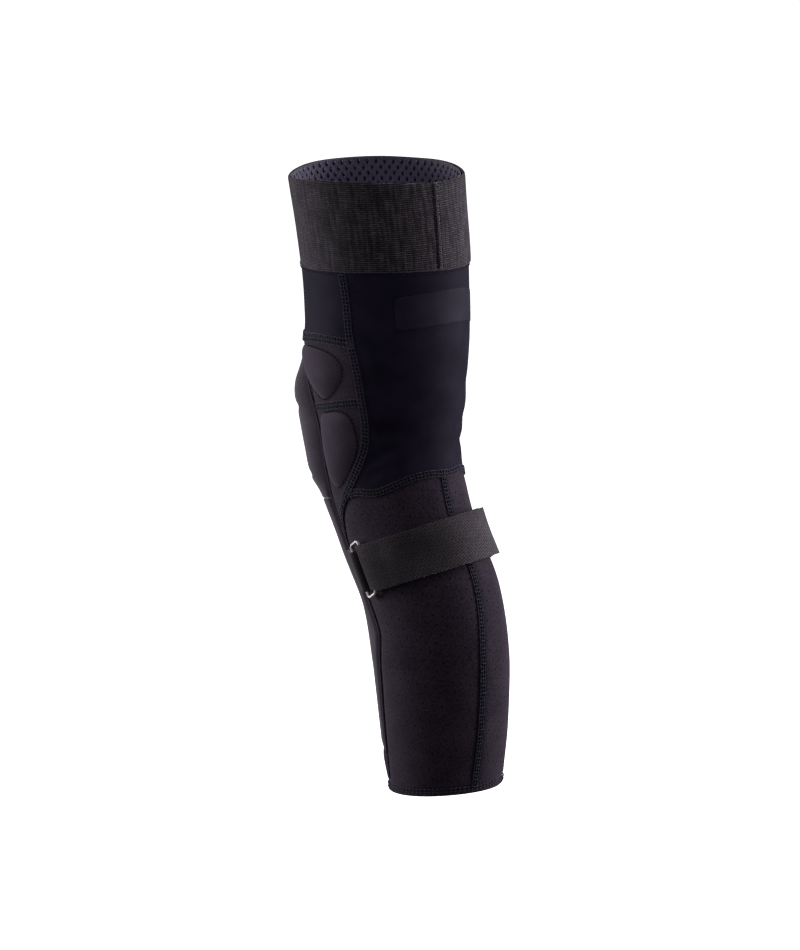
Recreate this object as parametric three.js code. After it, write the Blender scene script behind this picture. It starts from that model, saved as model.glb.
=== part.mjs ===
// A pull-on knee and shin guard for one leg, worn under riding trousers: a knitted and
// neoprene sleeve with foam pads at the knee, the knee's sides and the shin, and one elastic
// strap that goes round the calf, through a metal ring and back on itself.
//
// Millimetres, +Z up, the wearer faces -Y, and +X is the leg's outer side. The origin is on
// the axis that the knee bends about. Every fabric piece lies on one leg surface, so a place
// on it is given as a turn round the leg (0 at the front, 90 at the outer side, 180 at the
// back), a height up the leg, and how proud of the sleeve's outer face it stands.
import * as THREE from 'three';

// ---- Driving dimensions ------------------------------------------------------------------

const RIM = 167;                    // top rim
const CUFF_FOOT = 105;              // where the elastic cuff is sewn to the thigh panels
const BACK_SPLIT = 38;              // back panel: above it goes with the thigh
const HEM_TOP = -262;
const HEM = -272;

const KNIT = 1.2;                   // thin stretch knit of the thigh and back panels
const NEOPRENE = 2.4;               // knee sides, calf and the base under the pads
const ELASTIC = 1.9;                // cuff
const COVER = 1.2;                  // abrasion cover over the pads
const WEBBING = 1.6;                // strap
const GAP = 0.4;                    // between layers that touch
const SEAM = 0.7;                   // between panels that are sewn edge to edge

const WIRE_R = 1.3;                 // ring's wire
const RING_TURN = 82;               // the ring's middle, round the leg
const RING_HEIGHT = -107.5;
const RING_PROUD = 3.9;
const RING_HALF_SPAN = 5.4;         // from its middle to either long bar
const RING_HALF_LENGTH = 20.3;
const RING_CORNER = 2.6;

// The leg from hem to rim: height, how far the section's middle is behind the knee axis, its
// half depth and half width, and the angle by which it tips up towards the back.
const SECTIONS = [
  { h: -272, middle: 52, deep: 42, wide: 40, tip: 7 },
  { h: -225, middle: 52, deep: 46, wide: 43.5, tip: 4 },
  { h: -175, middle: 49.5, deep: 49, wide: 46, tip: 6.5 },
  { h: -130, middle: 39, deep: 49.5, wide: 46, tip: 13 },
  { h: -90, middle: 14, deep: 49.5, wide: 45, tip: 17 },
  { h: -50, middle: -5, deep: 53, wide: 47, tip: 16 },
  { h: 0, middle: -12, deep: 60.5, wide: 52, tip: 8 },
  { h: 55, middle: -13.5, deep: 63, wide: 56, tip: 1 },
  { h: 100, middle: -16, deep: 63, wide: 58, tip: 3 },
  { h: 167, middle: -27, deep: 65, wide: 61, tip: 3 },
];

// Seams, each as [height, turn] or [turn, height]. The inner side mirrors the outer side.
const SIDE_SEAM = along([[-85, 58], [-69, 72], [-61.5, 83], [-53, 95], [-42.5, 106], [-28.5, 115],
  [-13, 117.3], [11.5, 116.2], [35.5, 113.5], [58, 110], [86, 109], [105, 107.5]]);
const FRONT_EDGE = along([[-262, 60], [-200, 58], [-155, 60], [-120, 56], [-85, 57],
  [-60, 60], [-45, 64], [-5, 67], [10, 62], [25, 54], [49, 50]]);
const KNEE_COVER_EDGE = along([[-60, 59.5], [-45, 63.5], [-5, 66.5], [8, 61], [18, 51], [26, 42],
  [36, 33], [46, 22]]);
const THIGH_SEAM = along([[0, 49], [47, 49.5], [88, 55], [120, 54.5]]);
const CALF_SEAM = along([[58, -85], [83, -61.5], [95, -58], [126, -61], [154, -56.5], [180, -56]]);
const BACK_SEAM = along([[-262, 172], [-215, 174], [-160, 172], [-135, 171], [-85, 180.5], [-54, 181.5]]);
const STRAP_TOP = along([[82, -92.5], [96, -91.6], [130, -88.7], [160, -86.1], [201, -83.6],
  [228, -83.1], [272, -87], [304, -91]]);
const STRAP_FOOT = along([[82, -123], [96, -121.5], [130, -117.4], [160, -114.6], [201, -112.4],
  [228, -112.5], [272, -118], [304, -122]]);

// How far the covers stand proud, by height: the knee's cup is thickest, the shin thins out.
const KNEE_RISE = along([[-60, 7.6], [-45, 10.8], [-8, 10.8], [12, 12.8], [26, 10], [47, 4]]);
const SHIN_RISE = along([[-244, 3], [-200, 4.6], [-140, 5.4], [-112, 7], [-66, 6.6]]);

// Outlines of the pads as [turn, height].
const UPPER_SIDE_PAD = [[42, 41], [60, 45], [78, 47], [93, 45.5], [102, 40], [104.5, 32], [101, 24],
  [93, 15], [82, 10.5], [70, 14], [57, 21], [47, 28]];
const LOWER_SIDE_PAD = [[74, -3], [84, 0.5], [96, 1.5], [104, -2], [108, -12], [109, -24], [105, -34],
  [97, -43], [87, -50], [78, -52], [71, -47], [70, -33], [71, -18]];

// Half widths of the two pads that lie over the leg's middle, as [height, turn].
const KNEE_PAD_EDGE = along([[-54, 39], [-42, 48], [-25, 53], [-8, 53], [4, 48], [15, 39], [27, 29],
  [40, 19]]);
const SHIN_PAD_EDGE = along([[-236, 34], [-215, 43], [-160, 47], [-110, 46], [-85, 42], [-72, 36]]);

// ---- Curves and the leg surface ----------------------------------------------------------

/** A smooth curve through (x, y) points, as a function of x, level with its ends beyond them. */
function along(points) {
  const rise = points.slice(1).map(([x, y], i) => (y - points[i][1]) / (x - points[i][0]));
  const slope = points.map(([x], i) => {
    if (i === 0) return rise[0];
    if (i === points.length - 1) return rise[i - 1];
    const before = x - points[i - 1][0];
    const after = points[i + 1][0] - x;
    return (rise[i - 1] * after + rise[i] * before) / (before + after);
  });
  return (x) => {
    if (x <= points[0][0]) return points[0][1];
    const i = points.findIndex(([end]) => x < end) - 1;
    if (i < 0) return points[points.length - 1][1];
    const [[x0, y0], [x1, y1]] = [points[i], points[i + 1]];
    const span = x1 - x0;
    const t = (x - x0) / span;
    return y0 * (2 * t ** 3 - 3 * t ** 2 + 1) + slope[i] * span * (t ** 3 - 2 * t ** 2 + t)
      + y1 * (3 * t ** 2 - 2 * t ** 3) + slope[i + 1] * span * (t ** 3 - t ** 2);
  };
}

const section = {};
for (const key of ['middle', 'deep', 'wide', 'tip']) {
  section[key] = along(SECTIONS.map((s) => [s.h, s[key]]));
}

const radians = THREE.MathUtils.degToRad;
const lerp = THREE.MathUtils.lerp;

/** The point at this turn and height, this far proud of the sleeve's outer face. */
function onLeg(turn, height, proud = 0) {
  const angle = radians(turn);
  const tip = radians(section.tip(height));
  const back = -(section.deep(height) + proud) * Math.cos(angle);
  return new THREE.Vector3(
    (section.wide(height) + proud) * Math.sin(angle),
    section.middle(height) + back * Math.cos(tip),
    height + back * Math.sin(tip),
  );
}

/** The direction out of the leg at this turn and height. */
function outward(turn, height) {
  const round = onLeg(turn + 0.5, height).sub(onLeg(turn - 0.5, height));
  const up = onLeg(turn, height + 0.5).sub(onLeg(turn, height - 0.5));
  return round.cross(up).normalize();
}

// ---- Solids ------------------------------------------------------------------------------

function geometryFrom(points, faces) {
  const geometry = new THREE.BufferGeometry();
  geometry.setAttribute('position', new THREE.Float32BufferAttribute(points.flatMap((p) => p.toArray()), 3));
  geometry.setIndex(faces.flat());
  return geometry;
}

/**
 * A closed solid from two grids of points, an outer and an inner face, joined at their edges.
 * outer(i, j) and inner(i, j) give a point; columns go round the leg and rows go up it.
 */
function slab(columns, rows, outer, inner, round = false) {
  const across = round ? columns : columns + 1;
  const points = [];
  for (const face of [outer, inner]) {
    for (let i = 0; i < across; i++) {
      for (let j = 0; j <= rows; j++) points.push(face(i, j));
    }
  }
  const half = across * (rows + 1);
  const at = (i, j) => (i % across) * (rows + 1) + j;
  const faces = [];
  const quad = (a, b, c, d) => faces.push([a, b, c], [a, c, d]);
  for (let i = 0; i < columns; i++) {
    for (let j = 0; j < rows; j++) {
      const [a, b, c, d] = [at(i, j), at(i + 1, j), at(i + 1, j + 1), at(i, j + 1)];
      quad(a, b, c, d);
      quad(half + d, half + c, half + b, half + a);
    }
    quad(at(i + 1, 0), at(i, 0), half + at(i, 0), half + at(i + 1, 0));
    quad(at(i, rows), at(i + 1, rows), half + at(i + 1, rows), half + at(i, rows));
  }
  for (let j = 0; j < rows && !round; j++) {
    quad(at(0, j), at(0, j + 1), half + at(0, j + 1), half + at(0, j));
    quad(at(columns, j + 1), at(columns, j), half + at(columns, j), half + at(columns, j + 1));
  }
  return geometryFrom(points, faces);
}

/** A band that closes round the whole leg, between two heights that may vary with the turn. */
function band({ foot, top, rows, outside, inside, columns = 40 }) {
  const face = (proud) => (i, j) => {
    const turn = (360 * i) / columns;
    return onLeg(turn, lerp(foot(turn), top(turn), j / rows), proud);
  };
  return slab(columns, rows, face(outside), face(inside), true);
}

/**
 * The place function of a panel between two seams that run up the leg and two that run round
 * it. The seams depend on each other's place, so it is settled in a few rounds.
 */
function between({ left, right, foot, top }) {
  return (u, v) => {
    let [turn, height] = [lerp(left(0), right(0), u), 0];
    for (let round = 0; round < 6; round++) {
      height = lerp(foot(turn), top(turn), v);
      turn = lerp(left(height), right(height), u);
    }
    return [turn, height];
  };
}

/**
 * A panel of the sleeve. place(u, v) gives its turn and height, with u and v from 0 to 1, and
 * outside and inside give how proud its two faces are, as numbers or as functions of u and v.
 */
function panel({ columns, rows, place, outside = 0, inside }) {
  const face = (proud) => (i, j) => {
    const [u, v] = [i / columns, j / rows];
    return onLeg(...place(u, v), typeof proud === 'function' ? proud(u, v) : proud);
  };
  return slab(columns, rows, face(outside), face(inside));
}

/** The turn that is this many millimetres further round the leg at this height. */
function shifted(turn, height, millimetres) {
  return turn + THREE.MathUtils.radToDeg(millimetres / section.wide(height));
}

/**
 * A pad with a flat back against the sleeve and a domed face. The outline is a closed curve
 * through its points; height(turn, h, r) is the face's proudness, where r is 0 in the pad's
 * middle and 1 at its edge.
 */
function pad({ outline, rings, spokes, back, face }) {
  const curve = new THREE.CatmullRomCurve3(outline.map(([t, h]) => new THREE.Vector3(t, h, 0)), true);
  const rim = curve.getSpacedPoints(spokes).slice(0, spokes);
  const middle = rim.reduce((sum, p) => sum.add(p), new THREE.Vector3()).divideScalar(spokes);
  const points = [];
  for (const side of ['face', 'back']) {
    points.push(onLeg(middle.x, middle.y, side === 'face' ? face(middle.x, middle.y, 0) : back));
    for (let ring = 1; ring <= rings; ring++) {
      const r = 1 - (1 - ring / rings) ** 1.15;
      for (const p of rim) {
        const [turn, h] = [lerp(middle.x, p.x, r), lerp(middle.y, p.y, r)];
        points.push(onLeg(turn, h, side === 'face' ? face(turn, h, r) : back));
      }
    }
  }
  const half = 1 + rings * spokes;
  const at = (ring, k) => 1 + (ring - 1) * spokes + (k % spokes);
  const faces = [];
  const clockwise = THREE.ShapeUtils.isClockWise(rim);
  const both = (a, b, c) => {
    const [outward, inward] = clockwise ? [[a, c, b], [a, b, c]] : [[a, b, c], [a, c, b]];
    faces.push(outward, inward.map((n) => n + half));
  };
  for (let k = 0; k < spokes; k++) {
    both(0, at(1, k), at(1, k + 1));
    for (let ring = 1; ring < rings; ring++) {
      both(at(ring, k), at(ring + 1, k), at(ring + 1, k + 1));
      both(at(ring, k), at(ring + 1, k + 1), at(ring, k + 1));
    }
    const [a, b] = clockwise ? [at(rings, k), at(rings, k + 1)] : [at(rings, k + 1), at(rings, k)];
    faces.push([a, b, b + half], [a, b + half, a + half]);
  }
  return geometryFrom(points, faces);
}

/** The mirror image of an outline in the leg's middle, for the inner side. */
const mirrored = (outline) => outline.map(([turn, h]) => [-turn, h]);

/** Webbing along a route: each stop gives a point and its outward direction across the width. */
function ribbon(stops, rows, thickness) {
  const face = (side) => (i, j) => {
    const { point, out } = stops[i](j / rows);
    return point.clone().addScaledVector(out, (side * thickness) / 2);
  };
  return slab(stops.length - 1, rows, face(1), face(-1));
}

// ---- The sleeve --------------------------------------------------------------------------

function cuffBand() {
  const saddle = (turn) => RIM + 1.2 + 2.3 * Math.sin(radians(2 * turn - 140));
  return band({ foot: () => CUFF_FOOT, top: saddle, rows: 2, outside: 0, inside: -ELASTIC });
}

function cuffGripper() {
  return band({
    foot: () => CUFF_FOOT + 6, top: () => RIM - 7, rows: 2,
    outside: -ELASTIC - GAP, inside: -ELASTIC - GAP - 0.8,
  });
}

function thighFrontPanel() {
  const place = between({
    left: (h) => -SIDE_SEAM(h),
    right: SIDE_SEAM,
    foot: (turn) => THIGH_SEAM(Math.abs(turn)),
    top: () => CUFF_FOOT - SEAM,
  });
  return panel({ columns: 24, rows: 3, place, inside: -KNIT });
}

/** Part of the one-piece back panel, from side seam to side seam. */
function backPanel(foot, top, rows) {
  const place = between({
    left: (h) => shifted(SIDE_SEAM(h), h, SEAM),
    right: (h) => shifted(360 - SIDE_SEAM(h), h, -SEAM),
    foot,
    top,
  });
  return panel({ columns: 16, rows, place, inside: -KNIT });
}

const calfTop = (turn) => CALF_SEAM(Math.min(turn, 360 - turn));

function backPatch() {
  const place = (u, v) => [lerp(143, 224, u), lerp(66.5, 89, v) - 8 * Math.max(u - 0.4, 0) ** 2];
  return panel({ columns: 9, rows: 2, place, outside: GAP + 0.5, inside: GAP });
}

/** Builds a panel from its place on the outer side, there or mirrored on the inner side. */
function onSide(side, place, sizes) {
  const mirror = (u, v) => {
    const [turn, height] = place(1 - u, v);
    return [360 - turn, height];
  };
  return panel({ ...sizes, place: side > 0 ? place : mirror });
}

/** The neoprene piece beside the knee, between the front cover, side seam and thigh seam. */
function sidePanel(side) {
  const front = (h) => shifted(FRONT_EDGE(h), h, SEAM);
  const place = between({
    left: front,
    right: (h) => Math.max(shifted(SIDE_SEAM(h), h, -SEAM), front(h) + 1.5),
    foot: () => -80,
    top: (turn) => THIGH_SEAM(turn) - SEAM,
  });
  return onSide(side, place, { columns: 8, rows: 11, inside: -NEOPRENE });
}

/** Half of the calf, from the front cover to the seam up its middle. */
function calfPanel(side) {
  const place = between({
    left: (h) => shifted(FRONT_EDGE(h), h, SEAM),
    right: (h) => shifted(side > 0 ? BACK_SEAM(h) : 360 - BACK_SEAM(h), h, -SEAM / 2),
    foot: () => HEM_TOP + SEAM / 2,
    top: (turn) => calfTop(turn) - SEAM,
  });
  return onSide(side, place, { columns: 15, rows: 12, inside: -NEOPRENE });
}

/** The sleeve's own front, under the pads. */
function frontBase(foot, top, rows) {
  const place = between({ left: (h) => -FRONT_EDGE(h), right: FRONT_EDGE, foot: () => foot, top });
  return panel({ columns: 14, rows, place, inside: -NEOPRENE });
}

function hemBand() {
  return band({ foot: () => HEM, top: () => HEM_TOP - SEAM / 2, rows: 1, outside: 0.3, inside: -NEOPRENE });
}

function hemGripper() {
  return band({
    foot: () => HEM + 1, top: () => HEM + 17, rows: 1,
    outside: -NEOPRENE - GAP, inside: -NEOPRENE - GAP - 0.8,
  });
}

// ---- Pads and their covers ---------------------------------------------------------------

/** How proud a cover stands: level across its middle, falling steeply at its edges. */
const kneeCoverRise = (u, h) => KNEE_RISE(h) * (1 - Math.abs(u) ** 6);
const shinCoverRise = (u, h) => SHIN_RISE(h) * (1 - 0.75 * Math.abs(u) ** 6);

/** A cover with a turned-down edge all round it, that stands over its pad like a shallow tray. */
function cover({ foot, top, rows, rise, halfWidth }) {
  const columns = 14;
  const edge = (u, v) => u === 0 || u === 1 || v === 0 || v === 1;
  const at = (v) => lerp(foot, top, v);
  const place = (u, v) => [(2 * u - 1) * halfWidth(at(v)), at(v)];
  const level = (u, v) => (edge(u, v) ? GAP + COVER : Math.max(GAP + COVER, rise(2 * u - 1, at(v))));
  return panel({
    columns, rows, place, outside: level,
    inside: (u, v) => (edge(u, v) ? GAP : level(u, v) - COVER),
  });
}

const KNEE_COVER = { foot: -60, top: 46, rows: 11, rise: kneeCoverRise, halfWidth: KNEE_COVER_EDGE };
const SHIN_COVER = { foot: -244, top: -64, rows: 14, rise: shinCoverRise, halfWidth: (h) => FRONT_EDGE(h) - 1.5 };

/** The foam that fills a cover, a gap below its inner face. */
function coverPad({ foot, top, edge, rows }, { rise, halfWidth }) {
  const place = between({ left: (h) => -edge(h), right: edge, foot: () => foot, top: () => top });
  const outside = (u, v) => {
    const [turn, height] = place(u, v);
    const under = rise(turn / halfWidth(height), height) - COVER - 3 * GAP;
    const rim = u === 0 || u === 1 || v === 0 || v === 1;
    return Math.max(GAP + 0.8, under * (rim ? 0.75 : 1));
  };
  return panel({ columns: 12, rows, place, outside, inside: 2 * GAP });
}

function sidePad(outline, side, crown) {
  const face = (turn, h, r) => GAP + 1 + crown * (1 - r ** 4);
  return pad({ outline: side > 0 ? outline : mirrored(outline), rings: 3, spokes: 18, back: GAP, face });
}

// ---- The strap and its ring --------------------------------------------------------------

const ringMiddle = onLeg(RING_TURN, RING_HEIGHT, RING_PROUD);
// The long bars follow the leg upwards, a little off square to the strap, as the webbing pulls.
const barAlong = onLeg(RING_TURN, RING_HEIGHT + 16).sub(onLeg(RING_TURN, RING_HEIGHT - 16)).normalize();
const barAcross = barAlong.clone().cross(outward(RING_TURN, RING_HEIGHT)).normalize();
const ringOut = barAcross.clone().cross(barAlong).normalize();

/** A point of the ring's plane: across towards the back, along the bars, and out of the leg. */
const inRing = (across, up, out) => ringMiddle.clone()
  .addScaledVector(barAcross, across)
  .addScaledVector(barAlong, up)
  .addScaledVector(ringOut, out);

function strapRing() {
  const [w, l, c] = [RING_HALF_SPAN, RING_HALF_LENGTH, RING_CORNER];
  const outline = [];
  for (const [x, y, start] of [[w - c, l - c, 0], [c - w, l - c, 90], [c - w, c - l, 180], [w - c, c - l, 270]]) {
    for (const step of [0, 30, 60, 90]) {
      const angle = radians(start + step);
      outline.push([x + c * Math.cos(angle), y + c * Math.sin(angle), Math.cos(angle), Math.sin(angle)]);
    }
  }
  const sides = 8;
  const points = outline.flatMap(([x, y, outX, outY]) => Array.from({ length: sides }, (_, k) => {
    const angle = (2 * Math.PI * k) / sides;
    const reach = WIRE_R * Math.cos(angle);
    return inRing(x + reach * outX, y + reach * outY, WIRE_R * Math.sin(angle));
  }));
  const at = (i, k) => (i % outline.length) * sides + (k % sides);
  const faces = [];
  for (let i = 0; i < outline.length; i++) {
    for (let k = 0; k < sides; k++) {
      faces.push([at(i, k), at(i + 1, k), at(i + 1, k + 1)], [at(i, k), at(i + 1, k + 1), at(i, k + 1)]);
    }
  }
  return geometryFrom(points, faces);
}

/** Stops that bend webbing round one long bar, from one angle to another about the bar. */
function roundBar(bar, from, to, steps, halfWidth) {
  const radius = WIRE_R + GAP + WEBBING / 2;
  return Array.from({ length: steps + 1 }, (_, k) => (v) => {
    const angle = radians(lerp(from, to, k / steps));
    const out = barAcross.clone().multiplyScalar(Math.cos(angle)).addScaledVector(ringOut, Math.sin(angle));
    const middle = inRing(bar, (2 * v - 1) * halfWidth, 0);
    return { point: middle.addScaledVector(out, radius), out };
  });
}

/** A stop on the leg, between two heights, facing out of the leg or, when flipped, into it. */
const legStop = (turn, foot, top, proud, flip = 1) => (v) => {
  const height = lerp(foot, top, v);
  return { point: onLeg(turn, height, proud), out: outward(turn, height).multiplyScalar(flip) };
};

/** The tab that ties the ring to the front seam: one folded piece of webbing round its bar. */
function ringTab() {
  const [foot, top] = [-121, -94];
  const flat = (turn, proud, flip) => legStop(turn, foot, top, proud, flip);
  const base = GAP + WEBBING / 2;
  return ribbon([
    flat(60.5, base + WEBBING + GAP, 1), flat(66, base + 2.4, 1), flat(71, base + 4, 1),
    ...roundBar(-RING_HALF_SPAN, 90, -90, 6, 15.3),
    flat(71, base + 0.2, -1), flat(66, base, -1), flat(60.5, base, -1),
  ], 3, WEBBING);
}

// The strap is not pulled tight, so it stands off the calf a little at the back.
const STRAP_SLACK = along([[96, 0], [170, 0.4], [228, 2], [262, 1.3], [301, 0]]);

/** The strap's under layer: from the inner front seam, round the calf, to just short of the ring. */
function calfStrap() {
  const turns = Array.from({ length: 23 }, (_, k) => lerp(96, 301, k / 22));
  const proud = GAP + WEBBING / 2;
  return ribbon(turns.map(
    (turn) => legStop(turn, STRAP_FOOT(turn), STRAP_TOP(turn), proud + STRAP_SLACK(turn)),
  ), 3, WEBBING);
}

const TAIL_PROUD = 2 * GAP + 1.6 + 1.5 * WEBBING;

/** The strap's upper layer: round the ring's free bar and back over the calf to its loose end. */
function strapTail() {
  const turns = Array.from({ length: 16 }, (_, k) => lerp(96, 228, k / 15));
  const lift = along([[96, 1.6], [108, 0]]);
  return ribbon([
    ...roundBar(RING_HALF_SPAN, 225, 90, 5, 17.3),
    ...turns.map((turn) => {
      const proud = TAIL_PROUD + STRAP_SLACK(turn) + lift(turn);
      return legStop(turn, STRAP_FOOT(turn), STRAP_TOP(turn), proud);
    }),
  ], 3, WEBBING);
}

/** The hook patch sewn inside the loose end. */
function hookPatch() {
  const turns = Array.from({ length: 6 }, (_, k) => lerp(188, 226, k / 5));
  const proud = GAP + WEBBING + GAP + 0.5;
  return ribbon(turns.map(
    (turn) => legStop(turn, STRAP_FOOT(turn) + 2, STRAP_TOP(turn) - 2, proud + STRAP_SLACK(turn)),
  ), 3, 0.8);
}

// ---- Materials and assembly --------------------------------------------------------------

const material = (color, roughness, metalness = 0) => new THREE.MeshStandardMaterial({ color, roughness, metalness });
const FINISH = {
  elastic: material('#262328', 0.95),
  silicone: material('#22263a', 0.45),
  knit: material('#17151d', 0.8),
  film: material('#1f1d27', 0.6),
  neoprene: material('#1c191f', 0.95),
  foam: material('#3a3a3d', 0.9),
  cover: material('#2b282f', 0.85),
  webbing: material('#201d21', 0.95),
  hook: material('#18171a', 1),
  steel: material('#8e8a8e', 0.35, 1),
};

const guard = new THREE.Group();

function add(name, finish, geometry) {
  const mesh = new THREE.Mesh(geometry, FINISH[finish]);
  mesh.name = name;
  guard.add(mesh);
}

add('top_cuff', 'elastic', cuffBand());
add('cuff_gripper', 'silicone', cuffGripper());
add('thigh_front_panel', 'knit', thighFrontPanel());
add('back_panel_upper', 'knit', backPanel(() => BACK_SPLIT + SEAM, () => CUFF_FOOT - SEAM, 5));
add('back_patch', 'film', backPatch());
add('knee_back_panel', 'knit', backPanel(calfTop, () => BACK_SPLIT, 7));

add('knee_base', 'neoprene', frontBase(-60 + SEAM, (turn) => THIGH_SEAM(Math.abs(turn)) - SEAM, 8));
add('knee_pad', 'foam', coverPad({ foot: -54, top: 40, edge: KNEE_PAD_EDGE, rows: 9 }, KNEE_COVER));
add('knee_cover', 'cover', cover(KNEE_COVER));

add('shin_base', 'neoprene', frontBase(HEM_TOP + SEAM / 2, () => -60, 16));
add('shin_pad', 'foam', coverPad({ foot: -236, top: -72, edge: SHIN_PAD_EDGE, rows: 12 }, SHIN_COVER));
add('shin_cover', 'cover', cover(SHIN_COVER));

for (const [name, side] of [['outer', 1], ['inner', -1]]) {
  add(`side_panel_${name}`, 'neoprene', sidePanel(side));
  add(`upper_side_pad_${name}`, 'neoprene', sidePad(UPPER_SIDE_PAD, side, 4.2));
  add(`lower_side_pad_${name}`, 'neoprene', sidePad(LOWER_SIDE_PAD, side, 4));
  add(`calf_panel_${name}`, 'neoprene', calfPanel(side));
}

add('hem_band', 'neoprene', hemBand());
add('hem_gripper', 'silicone', hemGripper());

add('ring_tab', 'webbing', ringTab());
add('strap_ring', 'steel', strapRing());
add('calf_strap', 'webbing', calfStrap());
add('strap_tail', 'webbing', strapTail());
add('hook_patch', 'hook', hookPatch());

export default guard;
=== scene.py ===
# %% [markdown]
# # A pull-on knee and shin guard, piece by piece
# The guard is a sewn sleeve: an elastic cuff, thin knit at the thigh and behind the knee, and
# neoprene at the knee's sides and the calf. Foam pads lie on its front and sides under tough
# covers, and one elastic strap runs round the calf, through a metal ring and back on itself.
# Everything soft lies on one surface, the leg, so the lesson starts with that surface, and
# each panel is then a flat grid laid on it, the way a cut panel is pulled onto a form.

# %% Load the frame
import math

import bpy
import numpy as np
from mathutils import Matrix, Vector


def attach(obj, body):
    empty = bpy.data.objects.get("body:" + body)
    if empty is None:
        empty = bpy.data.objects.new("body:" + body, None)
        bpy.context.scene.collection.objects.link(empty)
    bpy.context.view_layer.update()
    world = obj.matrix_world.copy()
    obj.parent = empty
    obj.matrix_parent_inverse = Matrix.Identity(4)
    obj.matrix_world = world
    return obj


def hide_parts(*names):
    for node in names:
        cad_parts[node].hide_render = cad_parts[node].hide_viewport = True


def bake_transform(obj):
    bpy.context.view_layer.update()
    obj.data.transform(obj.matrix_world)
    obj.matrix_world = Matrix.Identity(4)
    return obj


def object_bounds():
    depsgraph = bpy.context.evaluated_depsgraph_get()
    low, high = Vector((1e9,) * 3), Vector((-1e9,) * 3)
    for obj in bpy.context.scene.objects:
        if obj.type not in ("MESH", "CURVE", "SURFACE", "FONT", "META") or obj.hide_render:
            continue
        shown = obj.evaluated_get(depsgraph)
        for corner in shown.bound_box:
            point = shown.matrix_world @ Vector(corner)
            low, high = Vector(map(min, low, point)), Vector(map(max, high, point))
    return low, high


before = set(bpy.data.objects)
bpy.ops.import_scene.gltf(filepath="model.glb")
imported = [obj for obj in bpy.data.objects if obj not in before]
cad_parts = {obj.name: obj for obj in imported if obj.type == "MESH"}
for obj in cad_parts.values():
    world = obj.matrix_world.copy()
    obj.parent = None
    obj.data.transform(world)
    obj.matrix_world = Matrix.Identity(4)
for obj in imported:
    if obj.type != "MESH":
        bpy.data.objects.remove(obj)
cad_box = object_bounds()
MM = 0.001

# %% [markdown]
# ## The camera and the light
# A long lens from behind the outer side keeps the sleeve's sides nearly parallel. The light is
# a bright, even room with two large soft boxes a little behind the guard: dark cloth shows its
# shape mostly by the pale edge that such side light draws along its nap.

# %% Camera
AZIMUTH = math.radians(140)
ELEVATION = math.radians(13.5)
DISTANCE = 5.5
FRAME_HEIGHT = 0.684        # metres that the view is high at the guard

camera_right = np.array([math.cos(AZIMUTH), math.sin(AZIMUTH), 0.0])
camera_back = np.array([
    math.sin(AZIMUTH) * math.cos(ELEVATION),
    -math.cos(AZIMUTH) * math.cos(ELEVATION),
    math.sin(ELEVATION),
])
aim = np.array([0.0, 0.004, -0.05]) - camera_right * 0.0022
bpy.ops.object.camera_add(
    location=aim + camera_back * DISTANCE,
    rotation=(math.pi / 2 - ELEVATION, 0, AZIMUTH),
)
camera = bpy.context.object
camera.data.sensor_width = 36
camera.data.lens = 36 * DISTANCE / FRAME_HEIGHT
camera.data.clip_end = 60
bpy.context.scene.camera = camera

# %% Room, floor and soft boxes
scene = bpy.context.scene
scene.view_settings.view_transform = "Standard"
ROOM_LIGHT = 0.18
room = bpy.data.worlds.new("soft_room")
room.use_nodes = True
room.node_tree.nodes["Background"].inputs["Color"].default_value = (1, 1, 1, 1)
room.node_tree.nodes["Background"].inputs["Strength"].default_value = ROOM_LIGHT
scene.world = room

FLOOR_DROP = 0.2            # the guard is held up by the leg, so the floor is well below it
bpy.ops.mesh.primitive_plane_add(size=60, location=(0, 0, cad_box[0][2] - FLOOR_DROP))
floor = bpy.context.object
floor.name = "studio_floor"
floor.visible_diffuse = floor.visible_glossy = False    # a dark floor to the guard, pale to the eye


def soft_box(name, turn, height, size, power, reach=1.6):
    """A square lamp at this turn round the guard from the camera's side, aimed at it."""
    angle = AZIMUTH + math.radians(turn)
    place = np.array([math.sin(angle) * reach, -math.cos(angle) * reach, height])
    bpy.ops.object.light_add(type="AREA", location=place)
    lamp = bpy.context.object
    lamp.name = name
    lamp.data.size = size
    lamp.data.energy = power
    direction = aim - place
    lamp.rotation_euler = (
        math.atan2(math.hypot(direction[0], direction[1]), -direction[2]),
        0,
        math.atan2(direction[1], direction[0]) - math.pi / 2,
    )
    return lamp


soft_box("right_box", 104, 0.2, 1.2, 50)
soft_box("left_box", -112, 0.0, 1.0, 33)
soft_box("front_box", -30, 1.0, 1.4, 5, reach=2.4)
soft_box("top_box", 10, 2.0, 1.0, 12, reach=0.5)

# %% [markdown]
# ## The leg surface
# A leg is a stack of ellipses: each section has a middle, a half depth, a half width and a
# small tilt, and smooth curves join them. A place on it is a turn (0 at the front, 90 on the
# outer side, 180 at the back), a height, and how proud it stands of the sleeve's outer face.
# These are the sections that the frame's own sleeve is built on. A lofted mesh could hold the
# same form, but as a formula it gives every panel, pad and stitch its exact place.

# %% Curves and sections
SECTIONS = [  # height, middle, half depth, half width, tilt; millimetres and degrees
    (-272, 52, 42, 40, 7),
    (-225, 52, 46, 43.5, 4),
    (-175, 49.5, 49, 46, 6.5),
    (-130, 39, 49.5, 46, 13),
    (-90, 14, 49.5, 45, 17),
    (-50, -5, 53, 47, 16),
    (0, -12, 60.5, 52, 8),
    (55, -13.5, 63, 56, 1),
    (100, -16, 63, 58, 3),
    (167, -27, 65, 61, 3),
]


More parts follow.
